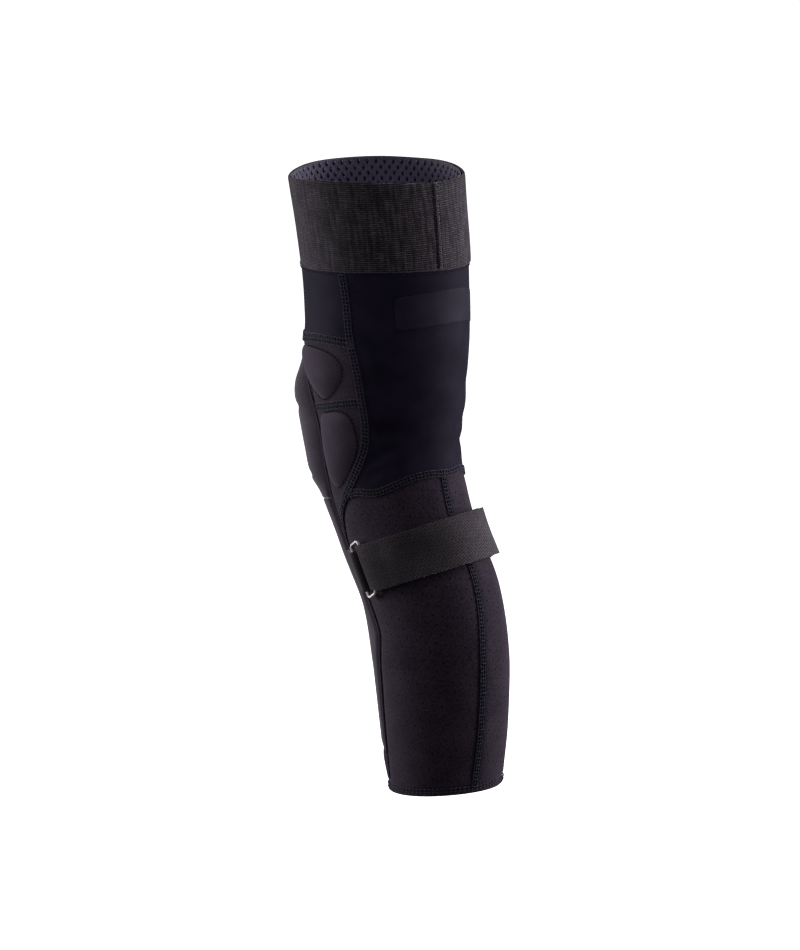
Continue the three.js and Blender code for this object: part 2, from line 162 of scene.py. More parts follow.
def along(points):
    """A smooth curve through (x, y) points, as a function of an array of x."""
    x, y = (np.array(column, float) for column in zip(*points))
    rise = np.diff(y) / np.diff(x)
    span = np.diff(x)
    inner = (rise[:-1] * span[1:] + rise[1:] * span[:-1]) / (span[:-1] + span[1:])
    slope = np.concatenate([rise[:1], inner, rise[-1:]])

    def curve(at):
        at = np.clip(np.asarray(at, float), x[0], x[-1])
        i = np.clip(np.searchsorted(x, at, side="right") - 1, 0, len(x) - 2)
        t = (at - x[i]) / span[i]
        return (
            y[i] * (2 * t**3 - 3 * t**2 + 1)
            + slope[i] * span[i] * (t**3 - 2 * t**2 + t)
            + y[i + 1] * (3 * t**2 - 2 * t**3)
            + slope[i + 1] * span[i] * (t**3 - t**2)
        )

    return curve


middle, deep, wide, tilt = (
    along([(row[0], row[k]) for row in SECTIONS]) for k in (1, 2, 3, 4)
)


def hump(distance, width):
    """1 in the middle, and next to nothing at twice the width away from it."""
    return np.exp(-((distance / width) ** 2))


KNEE_COVER_TOP = 46         # millimetres above the knee's axis


def swell(turn, height):
    """The sleeve's front swells a little where the knee's foam begins under it."""
    from_front = np.abs((turn + 180) % 360 - 180)
    return 1.8 * hump(height - KNEE_COVER_TOP, 9) * np.clip((95 - from_front) / 35, 0, 1)


def on_leg(turn, height, proud=0.0):
    """Points in metres at these turns, heights and prouds, one row each."""
    turn, height, proud = np.broadcast_arrays(
        *(np.asarray(a, float) for a in (turn, height, proud))
    )
    proud = proud + swell(turn, height)
    angle, tip = np.radians(turn), np.radians(tilt(height))
    back = -(deep(height) + proud) * np.cos(angle)
    return MM * np.stack(
        [
            (wide(height) + proud) * np.sin(angle),
            middle(height) + back * np.cos(tip),
            height + back * np.sin(tip),
        ],
        axis=-1,
    )


def outward(turn, height):
    """Unit directions out of the leg."""
    round_it = on_leg(turn + 0.5, height) - on_leg(turn - 0.5, height)
    up_it = on_leg(turn, height + 0.5) - on_leg(turn, height - 0.5)
    out = np.cross(round_it, up_it)
    return out / np.linalg.norm(out, axis=-1, keepdims=True)


print("leg surface spans", on_leg(180, -272), "to", on_leg(0, 167))

# %% [markdown]
# ## Where the seams run
# The seams are the drawing that everything else follows. Heights that depend on the turn, or
# turns that depend on the height, are smooth curves through a few places. The inner side of
# the sleeve mirrors the outer side, except for the seam up the calf, which wanders a little
# because the sleeve hangs slightly twisted. Seams could be cut into one mesh with a knife, but
# two panels that share one curve always meet, however each is divided.

# %% Seam curves
RIM, HEM_TOP, HEM = 167, -262, -272
SIDE_SEAM = along([
    (-85, 58), (-69, 72), (-61.5, 83), (-53, 95), (-42.5, 106), (-28.5, 115), (-13, 117.3),
    (11.5, 116.2), (35.5, 113.5), (58, 110), (86, 109), (105, 107.5),
])
FRONT_EDGE = along([
    (-262, 60), (-200, 59), (-180, 62), (-165, 67), (-152, 71), (-142, 66), (-130, 58),
    (-118, 56), (-85, 57), (-60, 60), (-45, 64), (-5, 67), (10, 62), (25, 54), (49, 50),
])
KNEE_COVER_EDGE = along([
    (-60, 60), (-45, 64), (-5, 67), (8, 61.5), (18, 51.5), (26, 42.5), (36, 33), (KNEE_COVER_TOP, 22),
])
THIGH_SEAM = along([(0, 49), (47, 49.5), (88, 55), (120, 54.5)])
CALF_SEAM = along([
    (58, -85), (83, -61.5), (95, -58), (120, -60.5), (133, -58.5), (143, -56.5), (154, -54.8),
    (170, -54.6), (185, -56), (212, -54.5), (240, -58), (265, -58), (277, -61.5), (302, -85),
])
BACK_SEAM = along([
    (-272, 168), (-262, 168.5), (-222, 172), (-194, 173), (-165, 175), (-137, 178), (-113, 180),
    (-85, 179), (-54, 181.5),
])
STRAP_TOP = along([
    (82, -92.5), (96, -91.6), (130, -88.7), (160, -86.1), (201, -83.6), (228, -83.1), (272, -87),
    (304, -91),
])
STRAP_FOOT = along([
    (82, -123), (96, -121.5), (130, -117.4), (160, -114.6), (201, -112.4), (228, -112.5),
    (272, -118), (304, -122),
])


def rim_height(turn):
    """The cuff's top edge, which an empty cuff lets wave a little."""
    turn = np.asarray(turn, float) % 360
    from_front = (turn + 180) % 360 - 180
    side = 3.4 * hump(from_front - 8, 36) - 1.3 * hump(from_front + 68, 22)
    return RIM + 1.2 + side + 2.3 * np.sin(np.radians(2 * turn - 140))


def cuff_foot(turn):
    """The cuff's lower edge, which waves with it."""
    a = np.radians(np.asarray(turn, float))
    return 104 + 1.1 * np.cos(2 * a - 2 * math.radians(140)) + 0.7 * np.cos(a - math.radians(50))


# %% [markdown]
# ## Small tools for cloth
# A panel starts as a flat grid, as cut cloth does. Each grid point gets a turn and a height
# between the panel's four seams and then its place on the leg. A UV map in metres of cloth
# goes with it, so that weave and perforations keep their real size and bend with the panel.
# Solidify gives the thickness, inwards, because the leg surface is the cloth's outer face.
# A cloth simulation could drape the panels, but a sleeve's cloth is stretched: it takes the
# shape of its form, and its few soft folds are simple to add one by one.

# %% Grid, panel and thickness
UV_RADIUS = 52              # one mean radius turns degrees into millimetres of cloth
DEGREE = np.radians(1) * UV_RADIUS


def deselect():
    bpy.ops.object.select_all(action="DESELECT")


def apply(piece, kind, **settings):
    """Adds one modifier and applies it."""
    deselect()
    bpy.context.view_layer.objects.active = piece
    piece.select_set(True)
    modifier = piece.modifiers.new(kind.lower(), kind)
    for key, value in settings.items():
        setattr(modifier, key, value)
    bpy.ops.object.modifier_apply(modifier=modifier.name)


def round_edges(piece, width, segments):
    """A bevel on the sharp edges only, its width in millimetres."""
    apply(piece, "BEVEL", width=width * MM, segments=segments, limit_method="ANGLE",
          angle_limit=math.radians(60))


def flat_grid(name, columns, rows):
    """A grid over the unit square, with its own u and v for each point."""
    deselect()
    bpy.ops.mesh.primitive_grid_add(x_subdivisions=columns, y_subdivisions=rows, size=1)
    piece = bpy.context.object
    piece.name = piece.data.name = name
    points = np.empty(len(piece.data.vertices) * 3)
    piece.data.vertices.foreach_get("co", points)
    points = points.reshape(-1, 3) + 0.5
    return piece, points[:, 0], points[:, 1]


def set_points(piece, points, cloth):
    """Moves the points into place and writes the UV map: cloth is (along, up) in millimetres."""
    mesh = piece.data
    mesh.vertices.foreach_set("co", np.asarray(points, float).ravel())
    uv = mesh.uv_layers.get("cloth") or mesh.uv_layers.new(name="cloth")
    corner = np.empty(len(mesh.loops), int)
    mesh.loops.foreach_get("vertex_index", corner)
    uv.data.foreach_set("uv", (np.stack(cloth, axis=-1)[corner] * MM).ravel())
    for extra in [layer for layer in mesh.uv_layers if layer.name != "cloth"]:
        mesh.uv_layers.remove(extra)
    mesh.update()


def between(u, v, left, right, foot, top):
    """Turn and height of grid places between four seams, which depend on each other."""
    turn = left(0.0) + (right(0.0) - left(0.0)) * u
    for _ in range(8):
        height = foot(turn) + (top(turn) - foot(turn)) * v
        turn = left(height) + (right(height) - left(height)) * u
    return turn, height


def edit_all(operator, **settings):
    """Runs one edit-mode operator on the whole of the active piece."""
    bpy.ops.object.mode_set(mode="EDIT")
    bpy.ops.mesh.select_all(action="SELECT")
    operator(**settings)
    bpy.ops.object.mode_set(mode="OBJECT")


def on_cloth(turn, height, radius=UV_RADIUS):
    """Where a place on the leg lies on flat cloth, in millimetres along and up."""
    return radius * np.radians(turn), height


def smooth(piece, angle=50):
    deselect()
    piece.select_set(True)
    bpy.context.view_layer.objects.active = piece
    bpy.ops.object.shade_smooth_by_angle(angle=math.radians(angle))


def level(value):
    """A seam that stays at one height or turn, as a function like the others."""
    return lambda at: np.zeros_like(np.asarray(at, float)) + value


def lay_panel(name, seams, size, thickness, proud=0.0, mirror=False, radius=UV_RADIUS):
    """One cut panel, laid on the leg. proud is a number or a function of turn, height, u and v."""
    piece, u, v = flat_grid(name, *size)
    if mirror:
        turn, height = between(1 - u, v, *seams)
    else:
        turn, height = between(u, v, *seams)
    lift = proud(turn, height, u, v) if callable(proud) else proud
    where = 360 - turn if mirror else turn
    set_points(piece, on_leg(where, height, lift), on_cloth(where, height, radius))
    apply(piece, "SOLIDIFY", thickness=thickness * MM, offset=-1, use_even_offset=True)
    smooth(piece)
    return piece


def lay_band(name, foot, top, size, thickness, proud=0.0):
    """A band that closes round the leg."""
    piece, u, v = flat_grid(name, *size)
    turn = 360 * u
    height = foot(turn) + (top(turn) - foot(turn)) * v
    lift = proud(turn, height, u, v) if callable(proud) else proud
    set_points(piece, on_leg(turn, height, lift), on_cloth(turn, height))
    edit_all(bpy.ops.mesh.remove_doubles, threshold=1e-6)
    apply(piece, "SOLIDIFY", thickness=thickness * MM, offset=-1, use_even_offset=True)
    smooth(piece)
    return piece


def waves(turn, height, size=0.25):
    """The slow unevenness of cloth with nothing inside it, in millimetres."""
    a, h = np.radians(turn), height
    return size * (
        0.6 * np.sin(3 * a + 0.021 * h) + 0.5 * np.sin(5 * a - 0.034 * h + 1.3)
        + 0.4 * np.sin(0.11 * h + 2 * a) * np.sin(2 * a + 0.6)
    )


def fold(turn, height, at, towards, depth, width):
    """A soft valley from one (turn, height) to another, in millimetres."""
    place = np.stack([(turn - at[0]) * DEGREE, height - at[1]], axis=-1)
    valley = np.array([(towards[0] - at[0]) * DEGREE, towards[1] - at[1]])
    t = np.clip(place @ valley / (valley @ valley), 0, 1)
    away = np.linalg.norm(place - t[:, None] * valley, axis=-1)
    return -depth * hump(away, width) * np.sin(np.pi * (0.1 + 0.8 * t))


# %% [markdown]
# ## Pieces that cross the knee
# The sleeve is one tube of cloth, so nothing on it may tear when the knee bends. A piece that
# comes near the knee is given no body here: its transform is baked into its points.


def bends(piece):
    """Bakes the transform of a piece that crosses the knee into its points."""
    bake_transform(piece)


def finish_piece(piece, material, body=None, stands_for=()):
    """Gives a piece its material, its body and the nodes it replaces."""
    piece.data.materials.clear()
    piece.data.materials.append(material)
    if body:
        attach(piece, body)
    else:
        bends(piece)
    if stands_for:
        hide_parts(*stands_for)
    print(f"{piece.name}: {len(piece.data.polygons)} faces on {body or 'shin to thigh'}")


# %% [markdown]
# ## Finishes
# Each finish starts from the real cloth. Colours are sRGB hex values turned to linear. A
# pattern is drawn on the cloth's UV map, whose unit is a metre, so a texture scale is one
# thousand over the pattern's size in millimetres. All these cloths are matt with a nap, which
# is what the sheen layer is for: it is pale where the cloth turns away from the eye.

# %% Material tools
def linear(hex_colour):
    """sRGB hex to linear RGBA."""
    channels = [int(hex_colour[i:i + 2], 16) / 255 for i in (1, 3, 5)]
    return [c / 12.92 if c <= 0.04045 else ((c + 0.055) / 1.055) ** 2.4 for c in channels] + [1]


def node(material, kind, inputs=None, stops=(), **settings):
    """Adds one node. Its inputs are values or other nodes' outputs; stops are a ramp's colours."""
    new = material.node_tree.nodes.new(kind)
    for k, (position, colour) in enumerate(stops):
        element = new.color_ramp.elements[k] if k < 2 else new.color_ramp.elements.new(position)
        element.position, element.color = position, linear(colour)
    for key, value in settings.items():
        setattr(new, key, value)
    for key, value in (inputs or {}).items():
        socket = new.inputs[key]
        if isinstance(value, bpy.types.NodeSocket):
            material.node_tree.links.new(value, socket)
        else:
            socket.default_value = value
    return new


def finish(name, values):
    """A material with one Principled surface, whose fixed values are set on its own sockets."""
    material = bpy.data.materials.new(name)
    material.use_nodes = True
    surface = material.node_tree.nodes["Principled BSDF"]
    for socket, value in values.items():
        surface.inputs[socket].default_value = value
    return material, surface


def link(material, output, socket):
    material.node_tree.links.new(output, socket)


# %% [markdown]
# ### Brushed neoprene
# Foam rubber with a knitted polyester face whose loops are brushed up: no thread shows, only a
# soft fuzz a few tenths of a millimetre across. It is drawn at about 1 to 1.6 mm so that it
# shows. Hair could make the fuzz, but noise in the colour and the bump looks the same from here.
# The calf's version is punched with 1 mm holes on a staggered grid so that it can breathe.
# Each hole is a near-black dot of painted shade, the dark inside the hole, with a dip in the bump.

# %% Brushed neoprene, plain and perforated
HOLE_PITCH = 7.0
HOLE_TURN = math.radians(-12)
HOLE_RADIUS = 0.55


def brushed(name, dark, pale, holes=False, sheen="#9a82a6", weight=0.45, nap=1.6):
    """Cloth with a fuzz of the given nap in millimetres, and punched holes if it has them."""
    material, surface = finish(name, {
        "Roughness": 0.95, "Specular IOR Level": 0.1, "Sheen Weight": weight,
        "Sheen Roughness": 0.3, "Sheen Tint": linear(sheen),
    })
    cloth = node(material, "ShaderNodeUVMap", uv_map="cloth").outputs["UV"]
    fuzz = node(material, "ShaderNodeTexNoise", {"Vector": cloth, "Scale": 1000 / nap, "Detail": 4.0})
    cloudy = node(material, "ShaderNodeTexNoise", {"Vector": cloth, "Scale": 1000 / 18, "Detail": 2.0})
    tone = node(material, "ShaderNodeMath", {0: fuzz.outputs["Fac"], 1: 0.7}, operation="MULTIPLY")
    both = node(material, "ShaderNodeMath", {0: cloudy.outputs["Fac"], 1: 0.3, 2: tone.outputs[0]},
                operation="MULTIPLY_ADD")
    colour = node(material, "ShaderNodeValToRGB", {"Fac": both.outputs[0]},
                  [(0.36, dark), (0.64, pale)])
    height, shade = fuzz.outputs["Fac"], colour.outputs["Color"]
    if holes:
        turned = node(material, "ShaderNodeVectorRotate", {"Vector": cloth, "Angle": -HOLE_TURN},
                      rotation_type="Z_AXIS")
        nearest = None
        for shift in (0.0, 0.5):
            cell = node(material, "ShaderNodeVectorMath", {
                0: turned.outputs[0],
                1: (1000 / HOLE_PITCH, 1000 / (HOLE_PITCH * math.sqrt(3)), 0),
                2: (shift, shift, 0),
            }, operation="MULTIPLY_ADD")
            part = node(material, "ShaderNodeVectorMath", {0: cell.outputs[0]}, operation="FRACTION")
            local = node(material, "ShaderNodeVectorMath", {
                0: part.outputs[0], 1: (HOLE_PITCH, HOLE_PITCH * math.sqrt(3), 0),
                2: (-HOLE_PITCH / 2, -HOLE_PITCH * math.sqrt(3) / 2, 0),
            }, operation="MULTIPLY_ADD")
            away = node(material, "ShaderNodeVectorMath", {0: local.outputs[0]}, operation="LENGTH")
            nearest = away.outputs["Value"] if nearest is None else node(
                material, "ShaderNodeMath", {0: nearest, 1: away.outputs["Value"]}, operation="MINIMUM",
            ).outputs[0]
        open_cloth = node(material, "ShaderNodeMapRange", {
            "Value": nearest, "From Min": HOLE_RADIUS * 0.7, "From Max": HOLE_RADIUS * 1.4,
        }).outputs["Result"]
        # The holes get a near-black colour: painted shade inside each hole.
        shade = node(material, "ShaderNodeMix", {
            "Factor": open_cloth, 6: linear("#0b080d"), 7: shade,
        }, data_type="RGBA").outputs[2]
        height = node(material, "ShaderNodeMath", {0: open_cloth, 1: 4.0, 2: height},
                      operation="MULTIPLY_ADD").outputs[0]
    link(material, shade, surface.inputs["Base Color"])
    bump = node(material, "ShaderNodeBump", {"Height": height, "Strength": 0.5, "Distance": 0.25 * MM})
    link(material, bump.outputs["Normal"], surface.inputs["Normal"])
    return material


NEOPRENE = brushed("brushed_neoprene", "#1b151e", "#302833")
PERFORATED = brushed("perforated_neoprene", "#1a141d", "#302833", holes=True)
PAD_CLOTH = brushed("moulded_pad_cloth", "#2e2731", "#3e3742", weight=0.45, nap=0.9)
# The cover cloth is paler than the neoprene: partly its own greyer cloth, and partly painted light,
# raised to stand in for light on the covers' lit edges.
COVER_CLOTH = brushed("abrasion_cover_cloth", "#302a33", "#423a45", weight=1.0, sheen="#c9bfce",
                      nap=1.0)
print("brushed finishes:", [cloth.name for cloth in (NEOPRENE, PERFORATED, PAD_CLOTH, COVER_CLOTH)])

# %% [markdown]
# ### Stretch knit
# The thigh and the back of the knee are a fine warp knit of nylon and elastane: its wales are
# under half a millimetre apart, so it reads as smooth, near-black navy with a soft blue sheen.
# The wales are drawn as faint streaks 1.4 mm apart, as coarse as they need to be to show.

# %% Stretch knit and bonded film
WALE_PITCH = 1.4


def knitted(name, dark, pale, sheen, weight, roughness=0.75):
    material, surface = finish(name, {
        "Roughness": roughness, "Specular IOR Level": 0.03, "Sheen Weight": weight,
        "Sheen Roughness": 0.3, "Sheen Tint": linear(sheen),
    })
    cloth = node(material, "ShaderNodeUVMap", uv_map="cloth").outputs["UV"]
    drawn_out = node(material, "ShaderNodeVectorMath", {0: cloth, 1: (1, 0.15, 1)},
                     operation="MULTIPLY")
    wales = node(material, "ShaderNodeTexNoise", {
        "Vector": drawn_out.outputs[0], "Scale": 1000 / WALE_PITCH, "Detail": 1.0,
    })
    cloudy = node(material, "ShaderNodeTexNoise", {"Vector": cloth, "Scale": 1000 / 25, "Detail": 3.0})
    grain = node(material, "ShaderNodeTexNoise", {"Vector": cloth, "Scale": 1000 / 0.9, "Detail": 2.0})
    mixed = node(material, "ShaderNodeMath", {0: grain.outputs["Fac"], 1: 0.4, 2: cloudy.outputs["Fac"]},
                 operation="MULTIPLY_ADD")
    colour = node(material, "ShaderNodeValToRGB", {"Fac": mixed.outputs[0]},
                  [(0.5, dark), (0.9, pale)])
    link(material, colour.outputs["Color"], surface.inputs["Base Color"])
    height = node(material, "ShaderNodeMath", {0: wales.outputs["Fac"], 1: grain.outputs["Fac"]},
                  operation="ADD")
    bump = node(material, "ShaderNodeBump", {
        "Height": height.outputs[0], "Strength": 0.35, "Distance": 0.1 * MM,
    })
    link(material, bump.outputs["Normal"], surface.inputs["Normal"])
    return material


KNIT = knitted("stretch_knit", "#15111d", "#201b2a", "#786f9c", 0.1)
FILM = knitted("bonded_stretch_film", "#1d1926", "#282331", "#786f9c", 0.11, roughness=0.65)
print("knit finishes:", KNIT.name, FILM.name)

# %% [markdown]
# ### Woven elastic and webbing
# The cuff is woven elastic: covered rubber runs round the leg and a fine thread crosses it, so
# its face is rows of raised dashes a millimetre high, drawn at 1.5 mm so that they show. The
# strap is a heavier elastic in a twill, whose ribs cross it at a low angle, 1.6 mm apart.
# Modelled yarns would be far too many faces, so bricks with soft mortar stand for the yarns.

# %% Woven elastic, webbing and hook tape
def woven(name, thread, gap, dash, angle=0.0, depth=0.35, gap_share=0.2, weight=0.4,
          wander=0.3, streaks=(2.6, 0.14)):
    """Rows of raised dashes, (long, high) in millimetres, with gaps between them.

    The rows wander a little, and slow streaks, (width, share of stretch), vary the colour.
    """
    material, surface = finish(name, {
        "Roughness": 0.92, "Specular IOR Level": 0.12, "Sheen Weight": weight,
        "Sheen Roughness": 0.35, "Sheen Tint": linear("#9c8fa4"),
    })
    cloth = node(material, "ShaderNodeUVMap", uv_map="cloth").outputs["UV"]
    turned = node(material, "ShaderNodeVectorRotate", {"Vector": cloth, "Angle": math.radians(angle)},
                  rotation_type="Z_AXIS")
    wobble = node(material, "ShaderNodeTexNoise", {"Vector": cloth, "Scale": 1000 / 9.0, "Detail": 2.0})
    moved = node(material, "ShaderNodeVectorMath", {
        0: wobble.outputs["Color"], 1: (wander * MM, 0.15 * MM, 0), 2: turned.outputs[0],
    }, operation="MULTIPLY_ADD")
    long, high = dash
    weave = node(material, "ShaderNodeTexBrick", {
        "Vector": moved.outputs[0], "Color1": linear(thread[0]), "Color2": linear(thread[1]),
        "Mortar": linear(gap), "Scale": 1.0, "Mortar Size": high * gap_share * MM, "Mortar Smooth": 1.0,
        "Bias": 0.0, "Brick Width": long * MM, "Row Height": high * MM,
    }, offset=0.5, squash=1.0)
    streak_width, stretch = streaks
    columns = node(material, "ShaderNodeVectorMath", {0: cloth, 1: (1, stretch, 1)},
                   operation="MULTIPLY")
    streak = node(material, "ShaderNodeTexNoise", {
        "Vector": columns.outputs[0], "Scale": 1000 / streak_width, "Detail": 2.0,
    })
    tone = node(material, "ShaderNodeValToRGB", {"Fac": streak.outputs["Fac"]},
                [(0.38, "#a8a8a8"), (0.62, "#ffffff")])
    colour = node(material, "ShaderNodeMix", {
        "Factor": 1.0, 6: weave.outputs["Color"], 7: tone.outputs["Color"],
    }, data_type="RGBA", blend_type="MULTIPLY")
    link(material, colour.outputs[2], surface.inputs["Base Color"])
    raised = node(material, "ShaderNodeMath", {0: 1.0, 1: weave.outputs["Fac"]}, operation="SUBTRACT")
    height = node(material, "ShaderNodeMath", {0: streak.outputs["Fac"], 1: 0.3, 2: raised.outputs[0]},
                  operation="MULTIPLY_ADD")
    bump = node(material, "ShaderNodeBump", {
        "Height": height.outputs[0], "Strength": 0.8, "Distance": depth * MM,
    })
    link(material, bump.outputs["Normal"], surface.inputs["Normal"])
    return material


ELASTIC = woven("woven_elastic", ("#4d464e", "#3d363e"), "#0c090d", (7.0, 1.5), depth=0.7,
                gap_share=0.36)
WEBBING = woven("twill_webbing", ("#494249", "#3f393f"), "#0e0c0e", (4.5, 1.6), angle=-25,
                weight=0.45, wander=0.1, streaks=(70, 1.0))
HOOK = woven("hook_tape", ("#1a191c", "#141316"), "#050505", (1.5, 1.5), depth=0.6, weight=0.1)
print("woven finishes:", ELASTIC.name, WEBBING.name, HOOK.name)

# %% [markdown]
# ### Thread, silicone, foam and steel
# Seams are spun polyester thread, a greyer blue than the cloth. Silicone grip marks are
# glossy and slightly clear. Impact foam is a matt closed cell. The ring is bent steel wire
# with satin nickel plating, so its shine is a little rough and it wears brighter in spots.

# %% Thread, silicone, foam, lining and ring
def speckled(name, dark, pale, grain, depth, values):
    """A plain finish with a fine grain in colour and height, on the object's own coordinates."""
    material, surface = finish(name, values)
    place = node(material, "ShaderNodeTexCoord").outputs["Object"]
    noise = node(material, "ShaderNodeTexNoise", {"Vector": place, "Scale": 1000 / grain, "Detail": 4.0})
    colour = node(material, "ShaderNodeValToRGB", {"Fac": noise.outputs["Fac"]},
                  [(0.35, dark), (0.65, pale)])
    link(material, colour.outputs["Color"], surface.inputs["Base Color"])
    bump = node(material, "ShaderNodeBump", {
        "Height": noise.outputs["Fac"], "Strength": 0.5, "Distance": depth * MM,
    })
    link(material, bump.outputs["Normal"], surface.inputs["Normal"])
    return material


THREAD = speckled("polyester_thread", "#211d2b", "#39334a", 0.6, 0.1,
                  {"Roughness": 0.8, "Specular IOR Level": 0.25})
GREY_THREAD = speckled("cuff_thread", "#4a434c", "#6b626d", 0.6, 0.1,
                       {"Roughness": 0.85, "Specular IOR Level": 0.2})
# Near-black: the dark stitches, and painted shade where it colours the ridges under the flatlock threads
# and the line in the calf's back-seam groove.
DARK_THREAD_AND_SHADE = speckled("dark_thread_and_shade", "#0a080c", "#131016", 0.6, 0.1,
                       {"Roughness": 0.85, "Specular IOR Level": 0.2})
SILICONE = speckled("grip_silicone", "#0c1030", "#141a42", 2.0, 0.05,
                    {"Roughness": 0.25, "IOR": 1.41})
LINING = speckled("knitted_lining", "#3a3146", "#524762", 0.8, 0.15,
                  {"Roughness": 0.9, "Sheen Weight": 0.3})
FOAM = speckled("impact_foam", "#2c2c2e", "#3a3a3d", 1.5, 0.3, {"Roughness": 0.85})
STEEL = speckled("satin_nickel_steel", "#7d787a", "#9c9799", 3.0, 0.02,
                 {"Roughness": 0.5, "Metallic": 1.0})
print("finishes in all:", len(bpy.data.materials))

# %% Floor finish
floor_paper = finish("white_paper", {
    "Roughness": 0.9, "Base Color": (0.9, 0.9, 0.9, 1), "Emission Color": (1, 1, 1, 1),
    "Emission Strength": 1.0,
})
floor.data.materials.append(floor_paper[0])
print("floor finish:", floor.data.materials[0].name)

# %% [markdown]
# ## Sewing
# A flatlock seam joins two edges side by side and covers them with thread: straight needle
# rows on top and looper threads that zigzag between them. Each thread here is a fine tube
# along a path on the leg, made as a curve with a round bevel and turned to a mesh. An image of
# stitches would be less work, but real threads catch the light and show at the outline.

# %% Paths and threads
THREAD_RADIUS = 0.27
CROSS_PITCH = 2.7           # a looper goes across and back in this; about 2.4 on the real one
SEAM_PROUD = 0.3            # how high the ridge under the threads stands


def path_on_leg(places, pitch):
    """Even steps of the given length in millimetres along (turn, height) places."""
    places = np.asarray(places, float)
    fine = np.concatenate([
        np.linspace(a, b, 24, endpoint=False) for a, b in zip(places[:-1], places[1:])
    ] + [places[-1:]])
    steps = np.linalg.norm(np.diff(on_leg(fine[:, 0], fine[:, 1]), axis=0), axis=-1) / MM
    travelled = np.concatenate([[0], np.cumsum(steps)])
    count = max(2, round(travelled[-1] / pitch))
    at = np.linspace(0, travelled[-1], count + 1)
    return np.stack([np.interp(at, travelled, fine[:, k]) for k in (0, 1)], axis=-1)


def seam_frame(places, pitch):
    """Points, sideways and outward directions along a seam."""
    path = path_on_leg(places, pitch)
    points, out = on_leg(path[:, 0], path[:, 1]), outward(path[:, 0], path[:, 1])
    ahead = np.gradient(points, axis=0)
    side = np.cross(out, ahead)
    return points, side / np.linalg.norm(side, axis=-1, keepdims=True), out


def threads(name, lines, radius=THREAD_RADIUS, sides=1):
    """One mesh of round threads, each along its own line of points."""
    curve = bpy.data.curves.new(name, "CURVE")
    curve.dimensions = "3D"
    curve.bevel_depth = radius * MM
    curve.bevel_resolution = sides
    curve.use_fill_caps = True
    for line in lines:
        spline = curve.splines.new("POLY")
        spline.points.add(len(line) - 1)
        spline.points.foreach_set("co", np.c_[line, np.ones(len(line))].ravel())
    piece = bpy.data.objects.new(name, curve)
    bpy.context.collection.objects.link(piece)
    deselect()
    piece.select_set(True)
    bpy.context.view_layer.objects.active = piece
    bpy.ops.object.convert(target="MESH")
    piece = bpy.context.object
    piece.name = piece.data.name = name
    bpy.ops.object.shade_smooth()
    return piece


def offset_line(frame_of_seam, sideways, proud):
    points, side, out = frame_of_seam
    return points + side * np.reshape(sideways, (-1, 1)) * MM + out * np.reshape(proud, (-1, 1)) * MM


def flatlock(name, places, width=6.4):
    """Three chained needle rows and the looper threads laid across them, over a low ridge whose
    near-black colour is painted shade under and between the threads.
    """
    frame_of_seam = seam_frame(places, CROSS_PITCH / 4)
    step = np.arange(len(frame_of_seam[0]))
    rows = np.array([-1, 0, 1]) * (width / 2 - 0.5)
    chain = step % 2 == 0
    lines = [
        offset_line(tuple(part[chain] for part in frame_of_seam), row,
                    SEAM_PROUD + 0.12 + 0.16 * np.cos(step[chain] * np.pi / 2))
        for row in rows
    ]
    # A looper goes straight across, runs along to the next stitch, and comes straight back.
    across = step[step % 4 < 2]
    wave = np.where((across // 4 + across % 4) % 2 == 0, 1.0, -1.0)
    for low, high in zip(rows[:-1], rows[1:]):
        centre, reach = (low + high) / 2, (high - low) / 2
        local = tuple(part[across] for part in frame_of_seam)
        lines.append(offset_line(local, centre + reach * wave, SEAM_PROUD + 0.34 + 0 * wave))
    stitches = threads(name + "_threads", lines)
    finish_piece(stitches, THREAD)
    band = seam_band(name + "_band", frame_of_seam, width)
    # The ridge is coloured near-black: painted shade under and between the threads.
    finish_piece(band, DARK_THREAD_AND_SHADE)


def seam_band(name, frame_of_seam, width):
    """The low, round-edged ridge that the two cut edges make under the threads. Its near-black colour is
    painted shade, not the cloth's own.
    """
    frame_of_seam = tuple(part[::2] for part in frame_of_seam)
    points = frame_of_seam[0]
    piece, u, v = flat_grid(name, len(points) - 1, 8)
    step = np.rint(u * (len(points) - 1)).astype(int)
    across = (v - 0.5) * (width + 0.5)
    ridge = SEAM_PROUD * (1 - np.abs(2 * v - 1) ** 5) - 0.15
    local = tuple(part[step] for part in frame_of_seam)
    set_points(piece, offset_line(local, across, ridge), (step * CROSS_PITCH / 2, across))
    apply(piece, "SOLIDIFY", thickness=0.3 * MM, offset=-1)
    smooth(piece)
    return piece


def stitch_row(name, places, pitch=2.4, share=0.62, proud=0.15, sideways=0.0, radius=0.24,
               material=THREAD, body=None):
    """A row of separate stitches, each a short thread that dips at its ends.

    share is how much of each pitch the thread shows for.
    """
    points, side, out = seam_frame(places, pitch)
    lines = []
    for a, b, s, n in zip(points[:-1], points[1:], side, out):
        ends = np.array([0.0, 0.18, 0.5, 0.82, 1.0]) * share + (1 - share) / 2
        lift = np.array([-0.5, 0.6, 1.0, 0.6, -0.5]) * radius + proud
        lines.append(a + (b - a) * ends[:, None] + n * lift[:, None] * MM + s * sideways * MM)
    piece = threads(name, lines, radius)
    finish_piece(piece, material, body)


def mirror_places(places):
    """The same places on the inner side."""
    return [(360 - turn, height) for turn, height in places]


# %% [markdown]
# ## The cuff
# A 62 mm band of woven elastic holds the guard up on the thigh. Its ends are butted at the
# back and joined by a zigzag, and inside it is a thin knit lining that carries the silicone
# marks which grip the skin. The top edge is rounded, because the elastic is folded over. One
# grid closed into a ring makes the band, so that its rim can wave as an empty cuff's does.

# %% Cuff band, lining and grip marks
ELASTIC_THICK = 1.9


def join_turn(height):
    """The cuff's join leans a little."""
    return 176.8 + 1.5 * (height - 105) / 62


